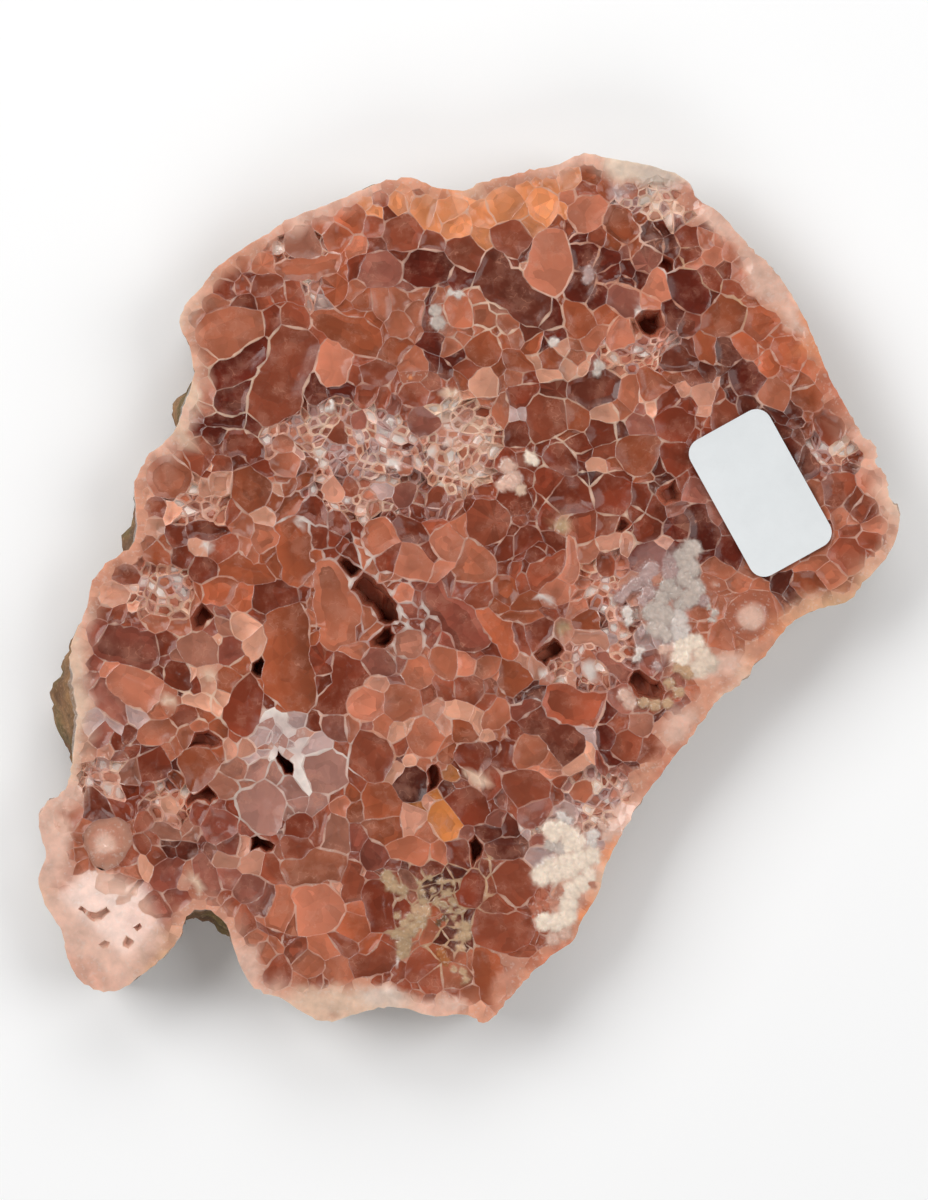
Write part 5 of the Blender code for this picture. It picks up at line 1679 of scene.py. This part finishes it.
def mottle_group():
    """Soft mottling with fine specks, for milky stone, rind, sawn stone and paper."""
    group, given, out = new_group(
        "Mottle",
        [("Tint", "NodeSocketColor", None), ("Coords", "NodeSocketVector", None),
         ("Size", "NodeSocketFloat", 400.0), ("Contrast", "NodeSocketFloat", 0.3),
         ("Speck tint", "NodeSocketColor", None), ("Specks", "NodeSocketFloat", 0.3)],
        [("Tint", "NodeSocketColor"), ("Height", "NodeSocketFloat")])
    wire = Wiring(group)
    broad = wire.noise(given.outputs["Coords"], given.outputs["Size"], 4.0, 0.65)
    shade = wire.spread(broad.outputs["Fac"], 0.25, 0.75, -1.0, 1.0)
    lift = wire.math("MULTIPLY_ADD", shade, given.outputs["Contrast"], 1.0)
    tint = wire.brighten(given.outputs["Tint"], lift)
    grain = wire.noise(given.outputs["Coords"], 1800.0, 1.0, 0.7)
    specks = wire.spread(grain.outputs["Fac"], 0.58, 0.68)
    tint = wire.mix(wire.math("MULTIPLY", specks, given.outputs["Specks"]), tint, given.outputs["Speck tint"])
    wire.link(tint, out.inputs["Tint"])
    height = wire.math("ADD", wire.math("MULTIPLY", broad.outputs["Fac"], 0.7),
                       wire.math("MULTIPLY", grain.outputs["Fac"], 0.3))
    wire.link(height, out.inputs["Height"])
    return group


def new_finish(name, **values):
    """A material whose shader holds the given plain values, with the mesh's tints and coordinates at hand."""
    made = bpy.data.materials.new(name)
    made.use_nodes = True
    wire = Wiring(made.node_tree)
    shader = made.node_tree.nodes["Principled BSDF"]
    for key, value in values.items():
        shader.inputs[key.replace("_", " ")].default_value = value
    tint = wire.node("Attribute", attribute_name="tint")
    coords = wire.node("TexCoord")
    return made, wire, shader, tint.outputs["Color"], coords.outputs["Object"]


def place_group(wire, group, **values):
    made = wire.node("Group")
    made.node_tree = group
    for key, value in values.items():
        wire.feed(made.inputs[key.replace("_", " ")], value)
    return made


def bump(wire, shader, height, strength, distance):
    made = wire.node("Bump")
    made.inputs["Strength"].default_value = strength
    made.inputs["Distance"].default_value = distance
    wire.link(height, made.inputs["Height"])
    wire.link(made.outputs["Normal"], shader.inputs["Normal"])


def rgba(tint):
    return (*(float(c) for c in linear(tint)), 1.0)


def coloured(wire, shader, group, strength, distance, **values):
    """Feeds a group's tint and relief to the shader, and returns the group's node."""
    made = place_group(wire, group, **values)
    wire.link(made.outputs["Tint"], shader.inputs["Base Color"])
    bump(wire, shader, made.outputs["Height"], strength, distance)
    return made


def stone_finishes(settings):
    """Polished crystal, milky chalcedony, rough rind and sawn stone, in the order of the face parts."""
    facets, mottle = inner_facets_group(), mottle_group()
    glow = settings.glow
    crystal, wire, shader, tint, coords = new_finish(
        "polished_amethyst", Subsurface_Weight=glow, Subsurface_Radius=(1.0, 0.42, 0.30),
        Subsurface_Scale=0.0011, IOR=1.54, Specular_IOR_Level=0.25, Coat_Weight=0.22 * settings.polish,
        Coat_Roughness=0.2, Coat_IOR=1.5)
    inner = coloured(wire, shader, facets, 0.35, 0.00022, Tint=tint, Coords=coords, Facet_size=480.0,
                     Depth=0.13, Pale=rgba("rose"), Clouds=0.34)
    wire.link(inner.outputs["Gloss"], shader.inputs["Roughness"])

    milky, wire, shader, tint, coords = new_finish(
        "milky_chalcedony", Roughness=0.32, Subsurface_Weight=min(1.0, 1.4 * glow),
        Subsurface_Radius=(1.0, 0.62, 0.48), Subsurface_Scale=0.0012, IOR=1.53,
        Coat_Weight=0.8 * settings.polish, Coat_Roughness=0.04, Coat_IOR=1.5)
    coloured(wire, shader, mottle, 0.12, 0.0001, Tint=tint, Coords=coords, Size=380.0, Contrast=0.20,
             Speck_tint=rgba("milk"), Specks=0.25)

    rind, wire, shader, tint, coords = new_finish("brown_rind", Roughness=0.86, IOR=1.5)
    coloured(wire, shader, mottle, 0.8, 0.0006, Tint=tint, Coords=coords, Size=520.0, Contrast=0.55,
             Speck_tint=rgba("tan"), Specks=0.28)

    sawn, wire, shader, tint, coords = new_finish(
        "sawn_stone", IOR=1.5, Subsurface_Weight=0.6 * glow, Subsurface_Radius=(1.0, 0.5, 0.4),
        Subsurface_Scale=0.0008)
    cut = place_group(wire, mottle, Tint=tint, Coords=coords, Size=450.0, Contrast=0.22,
                      Speck_tint=rgba("cream"), Specks=0.3)
    wire.link(cut.outputs["Tint"], shader.inputs["Base Color"])
    marks = wire.node("TexWave", wave_type="BANDS", bands_direction="X")
    wire.link(coords, marks.inputs["Vector"])
    marks.inputs["Scale"].default_value = 420.0
    marks.inputs["Distortion"].default_value = 1.5
    marks.inputs["Detail"].default_value = 2.0
    relief = wire.math("ADD", cut.outputs["Height"], wire.math("MULTIPLY", marks.outputs["Fac"], 0.25))
    wire.link(wire.spread(marks.outputs["Fac"], 0.0, 1.0, 0.42, 0.56), shader.inputs["Roughness"])
    bump(wire, shader, relief, 0.25, 0.00012)
    return crystal, milky, rind, sawn


def label_paper(settings):
    paper, wire, shader, _, coords = new_finish(
        "label_paper", Roughness=0.42, Specular_IOR_Level=0.4, Subsurface_Weight=0.1,
        Subsurface_Radius=(1.0, 1.0, 1.0), Subsurface_Scale=0.0003)
    coloured(wire, shader, bpy.data.node_groups["Mottle"], 0.06, 0.00006, Tint=(*settings.paper, 1.0),
             Coords=coords, Size=160.0, Contrast=0.035, Speck_tint=(0.72, 0.73, 0.74, 1.0), Specks=0.12)
    return paper


# ---------------------------------------------------------------- the label

LABEL_GAP = 0.03
CORNER_POINTS = 9
LABEL_RINGS = (0.25, 0.5, 0.72, 0.87, 0.95, 1.0)
CURL_FROM = 0.72


def label_outline(width, height, corner):
    """The label's rounded outline, anticlockwise."""
    points = []
    half_x, half_y = width / 2 - corner, height / 2 - corner
    middles = ((half_x, half_y), (-half_x, half_y), (-half_x, -half_y), (half_x, -half_y))
    for turn, (x, y) in enumerate(middles):
        for k in range(CORNER_POINTS):
            angle = math.radians(90 * turn + 90 * k / (CORNER_POINTS - 1))
            points.append(Vector((x + corner * math.cos(angle), y + corner * math.sin(angle))))
    return points


def build_label(settings):
    """Points and faces of the label: a thin sheet whose corners lift a little."""
    outline = label_outline(settings.width / MM, settings.height / MM, settings.corner / MM)
    turn = math.radians(LABEL_BEARING)
    points, faces = [], []
    thick, low = settings.thickness / MM, THICKNESS + LABEL_GAP

    def curl(point):
        far = math.hypot(point.x / (settings.width / MM / 2), point.y / (settings.height / MM / 2))
        return settings.curl / MM * max(0.0, far - CURL_FROM) ** 2 * 4.0

    def add(point, height):
        points.append((point.x * math.cos(turn) - point.y * math.sin(turn) + LABEL_CENTRE[0],
                       point.x * math.sin(turn) + point.y * math.cos(turn) + LABEL_CENTRE[1],
                       low + height + curl(point)))
        return len(points) - 1

    sides = []
    for height in (thick, 0.0):
        middle = add(Vector((0, 0)), height)
        rows = [[add(point * ring, height) for point in outline] for ring in LABEL_RINGS]
        sides.append((middle, rows))
    count = len(outline)
    for flip, (middle, rows) in enumerate(sides):
        for k in range(count):
            found = [(middle, rows[0][k - 1], rows[0][k])]
            found += [(a[k - 1], b[k - 1], b[k], a[k]) for a, b in zip(rows, rows[1:])]
            faces += [face[::-1] for face in found] if flip else found
    top, under = sides[0][1][-1], sides[1][1][-1]
    faces += [(top[k], top[k - 1], under[k - 1], under[k]) for k in range(count)]
    return points, faces


# ---------------------------------------------------------------- settings, operators and panel

def length_setting(name, description, default, least=0.0):
    return bpy.props.FloatProperty(name=name, description=description, default=default, min=least,
                                   unit="LENGTH")


def share_setting(name, description, default):
    return bpy.props.FloatProperty(name=name, description=description, default=default, min=0.0, max=1.0,
                                   subtype="FACTOR")


def colour_setting(name, description, default):
    return bpy.props.FloatVectorProperty(name=name, description=description, default=default, size=3, min=0.0,
                                         max=1.0, subtype="COLOR")


class StoneSettings(bpy.types.PropertyGroup):
    grain: length_setting(
        "Crystal size", "Usual spacing of the crystals between the placed ones", 0.0030, 0.001)
    sugar_grain: length_setting(
        "Sugar size", "Usual spacing of the points in the sugary patches", 0.0011, 0.0005)
    shortest_edge: length_setting(
        "Shortest border", "Crystal borders shorter than this close up", 0.00032, 0.0001)
    vein_width: length_setting(
        "Vein width", "Width of the pale vein on each side of a border", 0.00013, 0.00005)
    vein_strength: share_setting("Vein strength", "How pale the veins are", 0.55)
    window_sink: length_setting("Crystal depth", "How far a cut crystal's floor lies below the face", 0.00055)
    polish: share_setting("Polish", "Strength of the clear polish", 0.75)
    glow: share_setting("Glow", "How much light passes into the stone", 0.22)


class LabelSettings(bpy.types.PropertyGroup):
    width: length_setting("Width", "Short side of the label", 0.0127)
    height: length_setting("Height", "Long side of the label", 0.0216)
    corner: length_setting("Corner radius", "Radius of the label's corners", 0.0022)
    thickness: length_setting("Thickness", "Thickness of the paper", 0.00012)
    curl: length_setting("Curl", "How far the corners lift", 0.00018)
    paper: colour_setting("Paper", "Colour of the paper", (0.76, 0.785, 0.795))


class StageSettings(bpy.types.PropertyGroup):
    floor_colour: colour_setting("Floor", "Colour of the floor", (0.95, 0.95, 0.95))
    camera_height: length_setting("Camera height", "Height of the camera above the polished face", 0.5)
    light: bpy.props.FloatProperty(
        name="Light", description="Strength of the studio light", default=0.45, min=0.0)


class SLICE_OT_stone(bpy.types.Operator):
    """Build the slice of amethyst"""

    bl_idname = "slice.stone"
    bl_label = "Stone"

    def execute(self, context):
        settings = context.scene.slice_stone
        stone = build_stone(settings)
        made = mesh_object("amethyst_slice", stone.points, stone.faces, plan_shift())
        for finish in stone_finishes(settings):
            made.data.materials.append(finish)
        made.data.polygons.foreach_set("material_index", np.array(stone.parts, np.int32))
        made.data.polygons.foreach_set("use_smooth", np.array(stone.smooth))
        tints = made.data.attributes.new("tint", "FLOAT_COLOR", "CORNER")
        colours = np.ones((len(stone.tints), 4), np.float32)
        colours[:, :3] = np.clip(np.array(stone.tints), 0.0, 1.0)
        tints.data.foreach_set("color", colours.ravel())
        made.data.update()
        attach(made, "root")
        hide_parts("slice")
        return {"FINISHED"}


class SLICE_OT_label(bpy.types.Operator):
    """Build the blank paper label"""

    bl_idname = "slice.label"
    bl_label = "Label"

    def execute(self, context):
        settings = context.scene.slice_label
        made = mesh_object("paper_label", *build_label(settings), plan_shift())
        made.data.materials.append(label_paper(settings))
        made.data.shade_smooth()
        made.data.set_sharp_from_angle(angle=math.radians(50))
        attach(made, "root")
        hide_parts("sticker")
        return {"FINISHED"}


# Soft lamps aimed at the slice: name, place, size and power
SOFT_BOXES = (
    ("left_softbox", (-0.75, 0.35, 0.75), (0.7, 0.7), 16.0),
    ("right_softbox", (0.75, 0.10, 0.70), (0.6, 0.8), 9.0),
    ("back_softbox", (0.05, 0.85, 0.65), (0.9, 0.5), 9.0),
    ("front_softbox", (0.0, -0.85, 0.70), (0.9, 0.5), 7.0),
)

# A small lamp high over the slice, whose mirror image brightens the lobe's polish
GLARE_PLACE = (-0.0885, -0.0777)
GLARE_HEIGHT = 0.4
GLARE_SIZE = (0.023, 0.017)
GLARE_POWER = 0.013
GLARE_BEARING = -43

SKY_STRENGTH = 0.1
FLOOR_SIZE = 6.0
FLOOR_GAP = 0.0001
LENS = 107.1
VIEW_REACH = 20.0
CAMERA_PLACE = (-0.00056, -0.00168)


def soft_box(name, place, aim, size, power):
    """A rectangular lamp at a place that looks at another."""
    lamp = bpy.data.lights.new(name, "AREA")
    lamp.shape = "RECTANGLE"
    lamp.size, lamp.size_y = size
    lamp.energy = power
    made = bpy.data.objects.new(name, lamp)
    made.location = place
    made.rotation_euler = (Vector(aim) - Vector(place)).to_track_quat("-Z", "Y").to_euler()
    bpy.context.scene.collection.objects.link(made)
    return made


class SLICE_OT_stage(bpy.types.Operator):
    """Build the floor, the lights and the camera"""

    bl_idname = "slice.stage"
    bl_label = "Stage"

    def execute(self, context):
        settings = context.scene.slice_stage
        bpy.ops.mesh.primitive_plane_add(size=FLOOR_SIZE, location=(0.0, 0.0, -FLOOR_GAP))
        floor = context.object
        floor.name = "floor"
        finish = bpy.data.materials.new("floor_white")
        finish.use_nodes = True
        shader = finish.node_tree.nodes["Principled BSDF"]
        shader.inputs["Base Color"].default_value = (*settings.floor_colour, 1.0)
        shader.inputs["Roughness"].default_value = 0.8
        floor.data.materials.append(finish)
        floor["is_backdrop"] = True
        for name, place, size, power in SOFT_BOXES:
            soft_box(name, place, (0, 0, 0), size, power * settings.light)
        x, y = GLARE_PLACE
        glare = soft_box("window_glare", (x, y, THICKNESS * MM + GLARE_HEIGHT), (x, y, 0), GLARE_SIZE,
                         GLARE_POWER)
        glare.rotation_euler = (0.0, 0.0, math.radians(GLARE_BEARING))
        world = bpy.data.worlds.new("studio")
        world.use_nodes = True
        sky = world.node_tree.nodes["Background"]
        sky.inputs["Color"].default_value = (1.0, 1.0, 1.0, 1.0)
        sky.inputs["Strength"].default_value = SKY_STRENGTH
        context.scene.world = world
        lens = bpy.data.cameras.new("camera")
        lens.lens = LENS
        lens.clip_end = VIEW_REACH
        camera = bpy.data.objects.new("camera", lens)
        camera.location = (*CAMERA_PLACE, THICKNESS * MM + settings.camera_height)
        bpy.context.scene.collection.objects.link(camera)
        context.scene.camera = camera
        context.scene.view_settings.view_transform = "Standard"
        return {"FINISHED"}


class SLICE_PT_panel(bpy.types.Panel):
    """Sizes and colours of the slice"""

    bl_idname = "SLICE_PT_panel"
    bl_label = "Amethyst Slice"
    bl_space_type = "VIEW_3D"
    bl_region_type = "UI"
    bl_category = "Slice"

    def draw(self, context):
        rows = ((SLICE_OT_stone, context.scene.slice_stone), (SLICE_OT_label, context.scene.slice_label),
                (SLICE_OT_stage, context.scene.slice_stage))
        for operator, settings in rows:
            box = self.layout.box()
            box.operator(operator.bl_idname)
            for name in settings.__annotations__:
                box.prop(settings, name)


CLASSES = (StoneSettings, LabelSettings, StageSettings, SLICE_OT_stone, SLICE_OT_label, SLICE_OT_stage,
           SLICE_PT_panel)


def register():
    for made in CLASSES:
        bpy.utils.register_class(made)
    bpy.types.Scene.slice_stone = bpy.props.PointerProperty(type=StoneSettings)
    bpy.types.Scene.slice_label = bpy.props.PointerProperty(type=LabelSettings)
    bpy.types.Scene.slice_stage = bpy.props.PointerProperty(type=StageSettings)


def unregister():
    for name in ("slice_stone", "slice_label", "slice_stage"):
        delattr(bpy.types.Scene, name)
    for made in reversed(CLASSES):
        bpy.utils.unregister_class(made)


def main():
    register()
    bpy.ops.slice.stone()
    bpy.ops.slice.label()
    bpy.ops.slice.stage()
    [[list(corner) for corner in box] for box in (CAD_BOX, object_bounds())]


if __name__ == "__main__":
    main()
